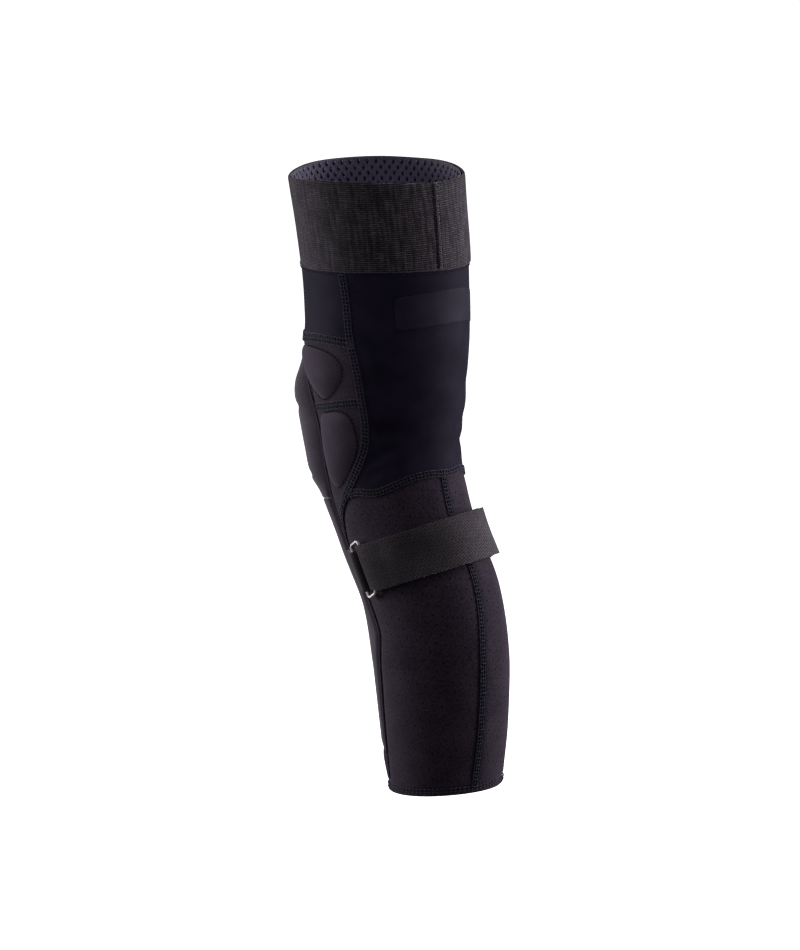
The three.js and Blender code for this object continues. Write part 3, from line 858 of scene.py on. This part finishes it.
def cuff_lift(turn, height, u, v):
    """Rounds the folded top edge, tucks in the foot and lets the butted join sink a little."""
    top = -1.1 * np.clip((v - 0.965) / 0.035, 0, 1) ** 2
    foot = -0.6 * np.clip((0.03 - v) / 0.03, 0, 1) ** 2
    from_join = turn - join_turn(height)
    join = -0.45 * hump(from_join, 0.75) + 0.35 * hump(from_join - 2.6, 1.7)
    full_side = 1.3 * hump(turn - 232, 34)
    return 0.25 + waves(turn, height, 0.35) + top + foot + join + full_side


cuff = lay_band("top_cuff_elastic", cuff_foot, rim_height, (480, 48), ELASTIC_THICK, cuff_lift)
round_edges(cuff, 0.7, 3)
finish_piece(cuff, ELASTIC, "thigh", ["top_cuff"])

lining = lay_band(
    "cuff_lining", lambda t: cuff_foot(t) + 1, lambda t: rim_height(t) - 0.9, (180, 30), 0.5,
    lambda turn, height, u, v: waves(turn, height, 0.35) - ELASTIC_THICK + 0.1,
)
finish_piece(lining, LINING, "thigh", ["cuff_gripper"])

GRIP_COLUMNS, GRIP_ROWS, GRIP_ROW = 60, 14, 4.0     # marks in a row, rows, millimetres a row
marks = []
for row in range(GRIP_ROWS):
    for k in range(GRIP_COLUMNS):
        turn = (k + 0.5 * (row % 2)) * 360 / GRIP_COLUMNS
        marks.append((turn, rim_height(turn) - 3.4 - row * GRIP_ROW))


def grip_marks(name, places, size, proud):
    """One small bead, modelled once and copied to every place inside the sleeve, as one mesh."""
    deselect()
    bpy.ops.mesh.primitive_uv_sphere_add(segments=8, ring_count=6, radius=1)
    piece = bpy.context.object
    piece.name = piece.data.name = name
    ball = np.array([v.co[:] for v in piece.data.vertices])
    faces = [tuple(p.vertices) for p in piece.data.polygons]
    turns, heights = (np.array(column, float) for column in zip(*places))
    centre, out = on_leg(turns, heights, proud), outward(turns, heights)
    up = on_leg(turns, heights + 0.5) - on_leg(turns, heights - 0.5)
    up /= np.linalg.norm(up, axis=-1, keepdims=True)
    side = np.cross(up, out)
    points = (
        centre[:, None]
        + ball[None, :, :1] * side[:, None] * size[0] * MM
        + ball[None, :, 1:2] * up[:, None] * size[1] * MM
        - ball[None, :, 2:] * out[:, None] * size[2] * MM
    ).reshape(-1, 3)
    all_faces = [
        tuple(i + k * len(ball) for i in reversed(face)) for k in range(len(places)) for face in faces
    ]
    mesh = bpy.data.meshes.new(name)
    mesh.from_pydata(points.tolist(), [], all_faces)
    piece.data = mesh
    piece.select_set(True)
    bpy.ops.object.shade_smooth()
    return piece


grips = grip_marks("cuff_grip_marks", marks, (1.0, 2.1, 0.8), -ELASTIC_THICK - 0.5)
finish_piece(grips, SILICONE, "thigh")

# %% Cuff's join and the seam at its foot
join_line = [(join_turn(h) + 2.5, h) for h in (106, 166.5)]
points, side, out = seam_frame(join_line, 1.3)
zigzag = np.where(np.arange(len(points)) % 2 == 0, 1.25, -1.25)
join = threads("cuff_join_zigzag", [
    offset_line((points, side, out), zigzag, 0.9),
    offset_line((points, side, out), -zigzag, 0.8),
], 0.34)
finish_piece(join, GREY_THREAD, "thigh")
for name, sideways in (("cuff_join_stitches_left", 2.2), ("cuff_join_stitches_right", -2.2)):
    stitch_row(name, join_line, pitch=2.4, share=0.4, proud=0.35, sideways=sideways, radius=0.34,
               material=DARK_THREAD_AND_SHADE, body="thigh")

foot_ring = [(turn, cuff_foot(turn)) for turn in range(0, 361, 6)]
stitch_row("cuff_foot_stitches", foot_ring, pitch=1.9, proud=0.35, sideways=-1.2,
           material=DARK_THREAD_AND_SHADE, body="thigh")
edge = threads("thigh_folded_edge", [offset_line(seam_frame(foot_ring, 3.0), 0.9, 0.6)], 0.36)
finish_piece(edge, THREAD, "thigh")

# %% [markdown]
# ## Knit panels
# The thigh's front and the whole back, from the cuff down past the knee crease, are thin
# stretch knit. The back is one panel. Behind the knee an empty sleeve sinks into a few
# shallow folds that run in from the side seams.

# %% Thigh front, back panel and bonded patch
KNIT_THICK = 1.2


def knee_folds(turn, height):
    """Shallow folds behind the knee, mirrored on the two sides."""
    both = np.minimum(turn, 360 - turn)
    return (
        fold(both, height, (118, -38), (146, -30), 1.6, 5)
        + fold(both, height, (120, -12), (160, -20), 1.1, 7)
        + fold(both, height, (112, -50), (128, -47), 1.2, 4)
        + fold(both, height, (124, 18), (150, 8), 0.7, 8)
    )


def under_cuff(turn, height):
    """The knit's last millimetres go on inside the cuff, where they are sewn."""
    return -1.0 * np.clip((height - cuff_foot(turn) + 0.6) / 1.2, 0, 1)


def knit_top(turn):
    return cuff_foot(turn) + 3


def back_lift(turn, height, u, v):
    return waves(turn, height, 0.3) + knee_folds(turn, height) + under_cuff(turn, height)


thigh_front = lay_panel(
    "thigh_front_knit",
    (lambda h: -SIDE_SEAM(h), SIDE_SEAM, lambda t: THIGH_SEAM(np.abs(t)), knit_top),
    (150, 60), KNIT_THICK, lambda t, h, u, v: waves(t % 360, h, 0.3) + under_cuff(t, h),
)
finish_piece(thigh_front, KNIT, None, ["thigh_front_panel"])


back_panel = lay_panel(
    "back_knit",
    (SIDE_SEAM, lambda h: 360 - SIDE_SEAM(h), CALF_SEAM, knit_top),
    (120, 170), KNIT_THICK, back_lift,
)
finish_piece(back_panel, KNIT, None, ["back_panel_upper", "knee_back_panel"])

PATCH_FROM, PATCH_TO, PATCH_FOOT, PATCH_TOP = 143, 226, 65.5, 88
PATCH_CORNER = 4.0
PATCH_BOW = along([(0, 0.2), (0.45, 2.2), (0.75, 0.5), (1, -4.5)])


def patch_height(u, v):
    """Heights on the patch. Its ends are drawn in, which rounds its corners."""
    from_end = (1 - np.abs(2 * u - 1)) * (PATCH_TO - PATCH_FROM) / 2 * DEGREE
    near_end = PATCH_CORNER - np.minimum(from_end, PATCH_CORNER)
    inset = PATCH_CORNER - np.sqrt(np.clip(PATCH_CORNER**2 - near_end**2, 0, None))
    reach = (PATCH_TOP - PATCH_FOOT) / 2 - inset
    return (PATCH_FOOT + PATCH_TOP) / 2 + (2 * v - 1) * reach + PATCH_BOW(u)


patch, u, v = flat_grid("bonded_back_patch", 110, 24)
across = 0.5 - 0.5 * np.cos(np.pi * u)      # closer columns at the two ends, for the corners
turn = PATCH_FROM + (PATCH_TO - PATCH_FROM) * across
height = patch_height(across, v)
set_points(patch, on_leg(turn, height, back_lift(turn, height, u, v) + 0.5), on_cloth(turn, height))
apply(patch, "SOLIDIFY", thickness=0.5 * MM, offset=-1)
round_edges(patch, 0.2, 2)
smooth(patch)
finish_piece(patch, FILM, None, ["back_patch"])

# %% [markdown]
# ## Neoprene panels
# Beside the knee a thicker neoprene panel carries the side pads, and two more make the calf.
# Their edges are pulled down a little into each seam, which is what makes a sewn seam read as
# a groove.

# %% Side panels and calf
NEOPRENE_THICK = 2.4


def sunk(u, v, foot=True):
    """Sinks a panel's edges into its seams."""
    edge = np.minimum(np.minimum(u, 1 - u), np.minimum(v if foot else 1.0, 1 - v))
    return -0.7 * hump(edge, 0.035)


SIDES = (("outer", False), ("inner", True))
side_seams = (
    FRONT_EDGE, lambda h: np.maximum(SIDE_SEAM(h), FRONT_EDGE(h) + 0.8), level(-82.5), THIGH_SEAM,
)
for side_name, inner in SIDES:
    panel = lay_panel(
        f"side_neoprene_{side_name}", side_seams, (48, 100), NEOPRENE_THICK,
        lambda t, h, u, v: waves(t, h, 0.2) + sunk(u, v), mirror=inner,
    )
    finish_piece(panel, NEOPRENE, None, [f"side_panel_{side_name}"])

for side_name, inner in SIDES:
    seam = (lambda h: 360 - BACK_SEAM(h)) if inner else BACK_SEAM
    panel = lay_panel(
        f"calf_neoprene_{side_name}",
        (FRONT_EDGE, seam, level(HEM_TOP - 0.5), lambda t, m=inner: CALF_SEAM(360 - t if m else t)),
        (110, 170), NEOPRENE_THICK,
        lambda t, h, u, v: waves(t, h, 0.35) + sunk(u, v, foot=False), mirror=inner, radius=47,
    )
    finish_piece(panel, PERFORATED, None, [f"calf_panel_{side_name}"])

# %% Base panels under the pads
knee_base = lay_panel(
    "knee_base_neoprene",
    (lambda h: -FRONT_EDGE(h), FRONT_EDGE, level(-60), lambda t: THIGH_SEAM(np.abs(t))),
    (80, 60), NEOPRENE_THICK, -0.15,
)
finish_piece(knee_base, NEOPRENE, None, ["knee_base"])
BELOW_COVER = along([(-272, 0.1), (-264, 0.5), (-255, 1.9), (-246, 2.7), (-238, 1.5), (-228, -0.15)])
shin_base = lay_panel(
    "shin_base_neoprene",
    (lambda h: -FRONT_EDGE(h), FRONT_EDGE, level(HEM_TOP - 0.5), level(-60)),
    (70, 160), NEOPRENE_THICK, lambda t, h, u, v: BELOW_COVER(h) * (1 - (2 * u - 1) ** 8),
)
finish_piece(shin_base, NEOPRENE, None, ["shin_base"])

# %% [markdown]
# ## The hem
# The sleeve's foot is turned under and held by two rows of stitches. The fold makes a round,
# slightly fat edge. A silicone tape inside stops the hem from riding up.

# %% Hem, its stitches and the grip tape
HEM_ROWS = (3.4, 5.8)       # millimetres above the edge


def hem_lift(turn, height, u, v):
    """Fat at the fold, pinched in by the stitches above it."""
    h = v * (HEM_TOP - HEM)
    fold_edge = 0.5 * np.sin(np.clip(h / 3.6, 0, 1) * np.pi) - 1.1 * hump(h, 0.9)
    pinch = sum(-0.7 * hump(h - row, 0.8) for row in HEM_ROWS)
    return 0.1 * (1 - v) + fold_edge + pinch + waves(turn, height, 0.35)


hem = lay_band("turned_hem", level(HEM), level(HEM_TOP), (240, 26), NEOPRENE_THICK + 0.4, hem_lift)
round_edges(hem, 0.9, 3)
finish_piece(hem, NEOPRENE, "shin", ["hem_band"])

for row_name, row in zip(("low", "high"), HEM_ROWS):
    stitch_row(f"hem_stitches_{row_name}", [(turn, HEM + row) for turn in range(0, 361, 6)],
               pitch=3.2, share=0.5, proud=0.1, radius=0.46, body="shin")

grip_tape = lay_band(
    "hem_grip_tape", level(HEM + 1), level(HEM + 17), (160, 8), 0.5, -NEOPRENE_THICK - 0.35,
)
finish_piece(grip_tape, LINING, "shin", ["hem_gripper"])
hem_marks = [
    ((k + 0.5 * (row % 2)) * 10, HEM + 3.5 + 4.6 * row) for row in range(3) for k in range(36)
]
hem_grips = grip_marks("hem_grip_marks", hem_marks, (0.75, 1.7, 0.6), -NEOPRENE_THICK - 0.8)
finish_piece(hem_grips, SILICONE, "shin")

# %% [markdown]
# ## Pads
# Foam shows through cloth as a soft crown that falls quickly at its edge, where the cloth is
# stitched down. A side pad starts as a sphere: its rim becomes the stitched outline and its two
# halves the crowned face and the flat back, so the pad is one closed form with no corner. An
# inflated cloth would crown too, but its stitched outline would not stay where it is sewn.

# %% Side pads
UPPER_SIDE_PAD = [
    (44, 41), (60, 45), (76, 46.5), (90, 45), (98.5, 40), (101.5, 32), (98.5, 24), (91, 15),
    (82, 10.5), (72, 14), (59.5, 21), (49.5, 28),
]
LOWER_SIDE_PAD = [
    (74, -3), (84, 0.5), (96, 1.5), (104, -2), (108, -12), (109, -24), (105, -34), (97, -43),
    (87, -50), (78, -52), (71, -47), (70, -33), (71, -18),
]


def closed_outline(corners, count):
    """Even points round a smooth closed curve through the corners."""
    corners = np.array(corners, float)
    scale = np.array([DEGREE, 1.0])
    loop = []
    for k in range(len(corners)):
        a, b, c, d = (corners[(k + j) % len(corners)] for j in (-1, 0, 1, 2))
        for t in np.linspace(0, 1, 16, endpoint=False):
            loop.append(0.5 * (
                2 * b + (c - a) * t + (2 * a - 5 * b + 4 * c - d) * t**2 + (3 * b - a - 3 * c + d) * t**3
            ))
    loop = np.array(loop + loop[:1])
    travelled = np.concatenate([[0], np.cumsum(np.linalg.norm(np.diff(loop * scale, axis=0), axis=-1))])
    at = np.linspace(0, travelled[-1], count, endpoint=False)
    return np.stack([np.interp(at, travelled, loop[:, k]) for k in (0, 1)], axis=-1)


def crowned_pad(name, outline, crown, edge, mirror=False):
    """A sphere pressed into a pad: rim on the outline, crowned outside, flat inside."""
    segments, rings = 96, 48
    deselect()
    bpy.ops.mesh.primitive_uv_sphere_add(segments=segments, ring_count=rings, radius=1)
    piece = bpy.context.object
    piece.name = piece.data.name = name
    ball = np.array([vertex.co[:] for vertex in piece.data.vertices])
    rim = closed_outline(outline, segments)
    centre = rim.mean(axis=0)
    r = np.clip(np.hypot(ball[:, 0], ball[:, 1]), 0, 1)
    spoke = (np.degrees(np.arctan2(ball[:, 1], ball[:, 0])) % 360) / 360 * segments
    low = np.floor(spoke).astype(int) % segments
    part = (spoke - np.floor(spoke))[:, None]
    edge_point = rim[low] * (1 - part) + rim[(low + 1) % segments] * part
    place = centre + (edge_point - centre) * r[:, None]
    face = edge + crown * (1 - r**2.8) ** 0.9
    proud = np.where(ball[:, 2] >= -1e-6, face, -0.2)
    turn = 360 - place[:, 0] if mirror else place[:, 0]
    set_points(piece, on_leg(turn, place[:, 1], proud), on_cloth(turn, place[:, 1]))
    edit_all(bpy.ops.mesh.normals_make_consistent, inside=False)
    smooth(piece, 70)
    return piece


for side_name, inner in SIDES:
    for place_name, outline, crown in (("upper", UPPER_SIDE_PAD, 4.6), ("lower", LOWER_SIDE_PAD, 4.2)):
        pad = crowned_pad(f"{place_name}_side_pad_{side_name}_cloth", outline, crown, 0.1, inner)
        finish_piece(pad, PAD_CLOTH, None, [f"{place_name}_side_pad_{side_name}"])
        rim = closed_outline(outline, 90)
        middle_of_pad = rim.mean(axis=0)
        rim = middle_of_pad + (rim - middle_of_pad) * 1.025
        start = int(np.argmin(rim[:, 0]))
        rear = np.roll(rim, -start, axis=0)
        rear = rear[rear[:, 0] > middle_of_pad[0] - 9]      # the front edge has no open stitches
        places = [(360 - t, h) if inner else (t, h) for t, h in rear]
        stitch_row(f"{place_name}_side_pad_{side_name}_stitches", places, pitch=2.8, share=0.28,
                   proud=0.15, radius=0.42, material=DARK_THREAD_AND_SHADE)

# %% [markdown]
# ## Covers and the foam under them
# The knee's cup and the shin's plate are foam under a tough cover. Each is highest along the
# leg's middle, stays high almost to its edges and then falls steeply, because the foam is a
# moulded block with chamfered sides. Stitched channels let the covers flex.

# %% Knee and shin covers
KNEE_RISE = along([
    (-60, 7.2), (-54, 9.2), (-45, 10.8), (-22, 10.6), (-8, 10.8), (2, 11.4), (10, 12.8),
    (17, 12.6), (26, 10), (36, 7.5), (47, 4),
])
SHIN_RISE = along([(-244, 3.0), (-200, 4.6), (-140, 5.4), (-112, 7), (-72, 6.6), (-58.5, 6.9)])
COVER_THICK = 1.2


def channel(turn, height, at, bow, depth, width, reach=60):
    """A stitched groove across the front at this height, bowed upwards at its ends."""
    line = at + bow * (turn / 60) ** 2
    fade = np.clip(1.4 - (np.abs(turn) / reach) ** 4, 0, 1)
    return -depth * fade * hump(height - line, width)


KNEE_CHANNELS = [(-1, 6), (-38, -6)]        # height of each, and how far its ends bow up
KNEE_FOOT, SHIN_TOP, SHIN_FOOT = -65, -58.5, -244   # the knee cover goes in under the shin cover


def below_shin_cover(height):
    """0 on the knee, and 1 where the knee cover's foot has gone under the shin cover."""
    return np.clip((-57.4 - height) / 1.2, 0, 1)


def knee_rise(turn, height):
    u = np.clip(np.abs(turn) / KNEE_COVER_EDGE(height), 0, 1)
    top = np.clip((KNEE_COVER_TOP - height) / 9, 0, 1) ** 0.6
    rise = KNEE_RISE(height) * (1 - u**6) * top
    for at, bow in KNEE_CHANNELS:
        rise = rise + channel(turn, height, at, bow, 1.8, 2.4, 46)
    joined = np.clip((-44 - height) / 12, 0, 1)
    rise = rise + (shin_rise(turn, height) - rise) * joined
    return rise - 1.6 * below_shin_cover(height)


def shin_rise(turn, height):
    u = np.clip(np.abs(turn) / (FRONT_EDGE(height) - 0.6), 0, 1)
    ends = np.clip(np.minimum(height - SHIN_FOOT, 8) / 8, 0, 1) ** 0.5
    wall = 1 - np.clip((u - 0.955) / 0.045, 0, 1) ** 2
    rise = SHIN_RISE(height) * (1 - 0.72 * u**6) * wall * ends
    for at in (-30, 30):
        groove = hump(turn - at - 0.02 * height, 2.2)
        ends_of_groove = np.clip(np.minimum(height + 232, -80 - height) / 12, 0, 1)
        rise = rise - 2.0 * groove * ends_of_groove
    return rise


def cover(name, foot, top, halfwidth, rise, lip, size):
    """A cover laid over its foam, with denser columns near its steep edges."""
    piece, u, v = flat_grid(name, *size)
    crowding = math.pi / 2 * 0.93
    across = np.sin((2 * u - 1) * crowding) / math.sin(crowding)
    height = foot + (top - foot) * v
    turn = across * halfwidth(height)
    lift = np.maximum(rise(turn, height), lip(turn, height)) + 0.2
    set_points(piece, on_leg(turn % 360, height, lift), on_cloth(turn, height))
    apply(piece, "SOLIDIFY", thickness=COVER_THICK * MM, offset=-1)
    round_edges(piece, 0.35, 2)
    smooth(piece)
    return piece


shin_cover = cover(
    "shin_cover_cloth", SHIN_FOOT, SHIN_TOP, lambda h: FRONT_EDGE(h) - 0.6, shin_rise,
    lambda t, h: 0.2 + 0 * t, (120, 150),
)
finish_piece(shin_cover, COVER_CLOTH, None, ["shin_cover"])

knee_cover = cover(
    "knee_cover_cloth", KNEE_FOOT, KNEE_COVER_TOP, KNEE_COVER_EDGE, knee_rise,
    lambda t, h: 0.2 - 1.4 * below_shin_cover(h), (140, 120),
)
finish_piece(knee_cover, COVER_CLOTH, None, ["knee_cover"])

# %% Foam blocks under the covers
KNEE_PAD_EDGE = along([
    (-54, 39), (-42, 48), (-25, 53), (-8, 53), (4, 48), (15, 39), (27, 29), (40, 19),
])
SHIN_PAD_EDGE = along([(-236, 34), (-215, 43), (-160, 47), (-110, 46), (-85, 42), (-72, 36)])
for name, foot, top, edge, rise, size, stands_for in (
    ("knee_foam", -54, 40, KNEE_PAD_EDGE, knee_rise, (60, 60), "knee_pad"),
    ("shin_foam", -236, -72, SHIN_PAD_EDGE, shin_rise, (50, 90), "shin_pad"),
):
    block = lay_panel(
        name, (lambda h, e=edge: -e(h), edge, level(foot), level(top)), size, 0,
        lambda t, h, u, v, r=rise: 0.2 + 0.7 * np.maximum(r(t, h) - COVER_THICK - 0.6, 1.0),
    )
    apply(block, "SOLIDIFY", thickness=1.2 * MM, offset=-1)
    finish_piece(block, FOAM, None, [stands_for])

# %% [markdown]
# ## The seams
# Now the flatlock seams go over the panel edges: down each side of the knit, across the front
# of the thigh, between the side pads, along the top of the calf and up its middle. A fine cord
# runs in the groove where the covers meet the sleeve.

# %% Flatlock seams
side_path = [(SIDE_SEAM(h), h) for h in np.linspace(104, -60, 40)]
low_path = [(SIDE_SEAM(h), h) for h in np.linspace(-60, -84, 10)]
calf_path = [(t, CALF_SEAM(t)) for t in np.linspace(92, 268, 48)]
thigh_path = [(t, THIGH_SEAM(abs(t))) for t in np.linspace(-113, 113, 60)]
between_pads = [(68, 3.5), (84, 5.5), (98, 7.5), (117.5, 9.5)]
back_path = [(BACK_SEAM(h), h) for h in np.linspace(-58.5, HEM + 1.5, 60)]
TURNED_SIDES = (("outer", list), ("inner", mirror_places))

for side_name, turned in TURNED_SIDES:
    flatlock(f"side_seam_{side_name}", turned(side_path))
    flatlock(f"low_side_seam_{side_name}", turned(low_path), width=4.6)
    flatlock(f"pad_seam_{side_name}", turned(between_pads))
flatlock("thigh_seam", thigh_path, width=7.0)
flatlock("calf_top_seam", calf_path, width=5.6)
flatlock("calf_back_seam", back_path, width=4.6)
# A near-black tube sunk beside the calf's back seam: a painted shade line for its groove.
groove = threads("calf_back_seam_groove_shade", [offset_line(seam_frame(back_path, 3.0), 3.0, -0.2)], 0.5)
finish_piece(groove, DARK_THREAD_AND_SHADE)

# %% Cords and stitches along the covers
for side_name, turned in TURNED_SIDES:
    knee_line = [(KNEE_COVER_EDGE(h) + 0.6, h) for h in np.linspace(24, -60, 30)]
    shin_line = [(FRONT_EDGE(h) + 0.4, h) for h in np.linspace(-60, -244, 50)]
    frame_of_line = seam_frame(turned(knee_line + shin_line[1:]), 2.5)
    cord = threads(f"cover_piping_{side_name}", [offset_line(frame_of_line, 0.0, 0.55)], 0.5, 2)
    finish_piece(cord, THREAD)
    stitch_row(f"cover_stitches_{side_name}", turned(knee_line + shin_line[1:]), pitch=2.3,
               proud=0.1, sideways=1.3 if side_name == "outer" else -1.3, material=DARK_THREAD_AND_SHADE)

# %% [markdown]
# ## Strap, ring and tab
# The strap's under layer is sewn into the inner front seam, goes round the calf and through
# the ring. There it folds round the ring's free bar and comes back as the upper layer, whose
# hook patch grips the layer below. A webbing tab ties the ring's other bar to the outer seam.
# The webbing is a strip of grid bent along its route, because a strap has no stretch across.

# %% Ring geometry, as in the frame
WEB_THICK, WEB_WIDTH, LAYER_GAP, WIRE = 1.6, 36, 0.4, 1.3      # WIRE is the wire's radius
RING_TURN, RING_HEIGHT, RING_PROUD = 82.0, -107.5, 3.9
HALF_SPAN, HALF_LENGTH, RING_CORNER = 5.4, 20.3, 2.6
ring_out = outward(RING_TURN, RING_HEIGHT)
ring_middle = on_leg(RING_TURN, RING_HEIGHT, RING_PROUD)
bar_along = on_leg(RING_TURN, RING_HEIGHT + 16) - on_leg(RING_TURN, RING_HEIGHT - 16)
bar_along /= np.linalg.norm(bar_along)
bar_across = np.cross(bar_along, ring_out)
bar_across /= np.linalg.norm(bar_across)
ring_out = np.cross(bar_across, bar_along)


def in_ring(across, up, out):
    """Points in the ring's plane, from millimetres across, along its bars and out of the leg."""
    across, up, out = (np.reshape(a, (-1, 1)) * MM for a in np.broadcast_arrays(across, up, out))
    return ring_middle + across * bar_across + up * bar_along + out * ring_out


# %% Ring
deselect()
bpy.ops.mesh.primitive_torus_add(major_segments=120, minor_segments=20, major_radius=2, minor_radius=1)
ring = bpy.context.object
ring.name = ring.data.name = "strap_ring_wire"
ball = np.array([vertex.co[:] for vertex in ring.data.vertices])
major = np.arctan2(ball[:, 1], ball[:, 0]) % math.tau
tube = np.stack([np.hypot(ball[:, 0], ball[:, 1]) - 2, ball[:, 2]], axis=-1)
straight_x, straight_y = HALF_SPAN - RING_CORNER, HALF_LENGTH - RING_CORNER
corner_x = np.where(np.cos(major) >= 0, straight_x, -straight_x)
corner_y = np.where(np.sin(major) >= 0, straight_y, -straight_y)
reach_x = corner_x + (RING_CORNER + tube[:, 0] * WIRE) * np.cos(major)
reach_y = corner_y + (RING_CORNER + tube[:, 0] * WIRE) * np.sin(major)
ring_points = in_ring(reach_x, reach_y, tube[:, 1] * WIRE)
ring.data.vertices.foreach_set("co", ring_points.ravel())
edit_all(bpy.ops.mesh.normals_make_consistent, inside=False)
smooth(ring, 80)
finish_piece(ring, STEEL, "ring", ["strap_ring"])


# %% Webbing
def webbing(name, stops, length, thickness=WEB_THICK, thin=1.0):
    """Webbing along stops, each a pair of functions of the place across the strap, v.

    They give a place and its outward side. thin draws the last stop in, which rounds the
    end's corners.
    """
    centres, outs = zip(*stops)
    *most, last = centres
    centres = [*most, lambda v: last(0.5 + (v - 0.5) * thin)]
    piece, u, v = flat_grid(name, len(centres) - 1, 14)
    step = np.rint(u * (len(centres) - 1)).astype(int)
    place = np.stack([centres[i](x) for i, x in zip(step, v)])
    out = np.stack([outs[i](x) for i, x in zip(step, v)])
    bulge = 0.18 * (1 - np.abs(2 * v - 1) ** 6) - 0.1
    set_points(
        piece, place + out * (thickness / 2 + bulge[:, None]) * MM,
        (u * length, v * WEB_WIDTH),
    )
    apply(piece, "SOLIDIFY", thickness=thickness * MM, offset=-1)
    round_edges(piece, 0.45, 3)
    smooth(piece)
    return piece


def leg_stop(turn, foot, top, proud, flip=1.0):
    """A stop across the strap where it lies on the leg; flip is -1 where its face looks in."""
    return (
        lambda v: on_leg(turn, foot + (top - foot) * v, proud),
        lambda v: outward(turn, foot + (top - foot) * v) * flip,
    )


def bar_stop(bar, angle, halfwidth):
    """A stop where the strap goes round one of the ring's bars, at this angle round the bar."""
    direction = bar_across * math.cos(math.radians(angle)) + ring_out * math.sin(math.radians(angle))
    radius = (WIRE + LAYER_GAP + WEB_THICK / 2) * MM
    return (
        lambda v: in_ring(bar, (2 * v - 1) * halfwidth, 0)[0] + direction * radius,
        lambda v: direction,
    )


BASE = LAYER_GAP + WEB_THICK / 2
STRAP_SLACK = along([(96, 0), (170, 0.4), (228, 2), (262, 1.3), (301, 0)])
under = webbing("calf_strap_under_layer", [
    leg_stop(t, STRAP_FOOT(t), STRAP_TOP(t), BASE + STRAP_SLACK(t)) for t in np.linspace(95, 303, 90)
], length=190)
finish_piece(under, WEBBING, "shin", ["calf_strap"])

TAIL_PROUD = 2 * LAYER_GAP + 1.6 + 1.5 * WEB_THICK     # over the under layer and the hook patch
LIFT_TO_BAR = along([(94, 1.9), (108, 0.0)])
TAIL_TURNS = [*np.linspace(95, 225.5, 62), 226.8, 227.6, 228]     # closer at the rounded end
tail = webbing("strap_tail_upper_layer", [
    bar_stop(HALF_SPAN, a, 17.3) for a in np.linspace(235, 90, 14)
] + [
    leg_stop(t, STRAP_FOOT(t), STRAP_TOP(t), TAIL_PROUD + STRAP_SLACK(t) + LIFT_TO_BAR(t))
    for t in TAIL_TURNS
], length=132, thin=0.93)
finish_piece(tail, WEBBING, "tail", ["strap_tail"])

hook = webbing("strap_hook_patch", [
    leg_stop(t, STRAP_FOOT(t) + 2, STRAP_TOP(t) - 2, LAYER_GAP + WEB_THICK + 0.9 + STRAP_SLACK(t))
    for t in np.linspace(188, 226, 24)
], length=34, thickness=0.8)
finish_piece(hook, HOOK, "tail", ["hook_patch"])

TAB_FOOT, TAB_TOP = -121, -94
TAB_TURNS = np.linspace(59, 70, 8)
tab = webbing("ring_tab_webbing", [
    leg_stop(t, TAB_FOOT, TAB_TOP, proud)
    for t, proud in zip(TAB_TURNS, np.linspace(BASE + 1.9, BASE + 3.6, 8))
] + [
    bar_stop(-HALF_SPAN, a, 15.3) for a in np.linspace(90, -90, 16)
] + [
    leg_stop(t, TAB_FOOT, TAB_TOP, BASE, -1.0) for t in TAB_TURNS[::-1]
], length=34)
finish_piece(tab, WEBBING, "shin", ["ring_tab"])
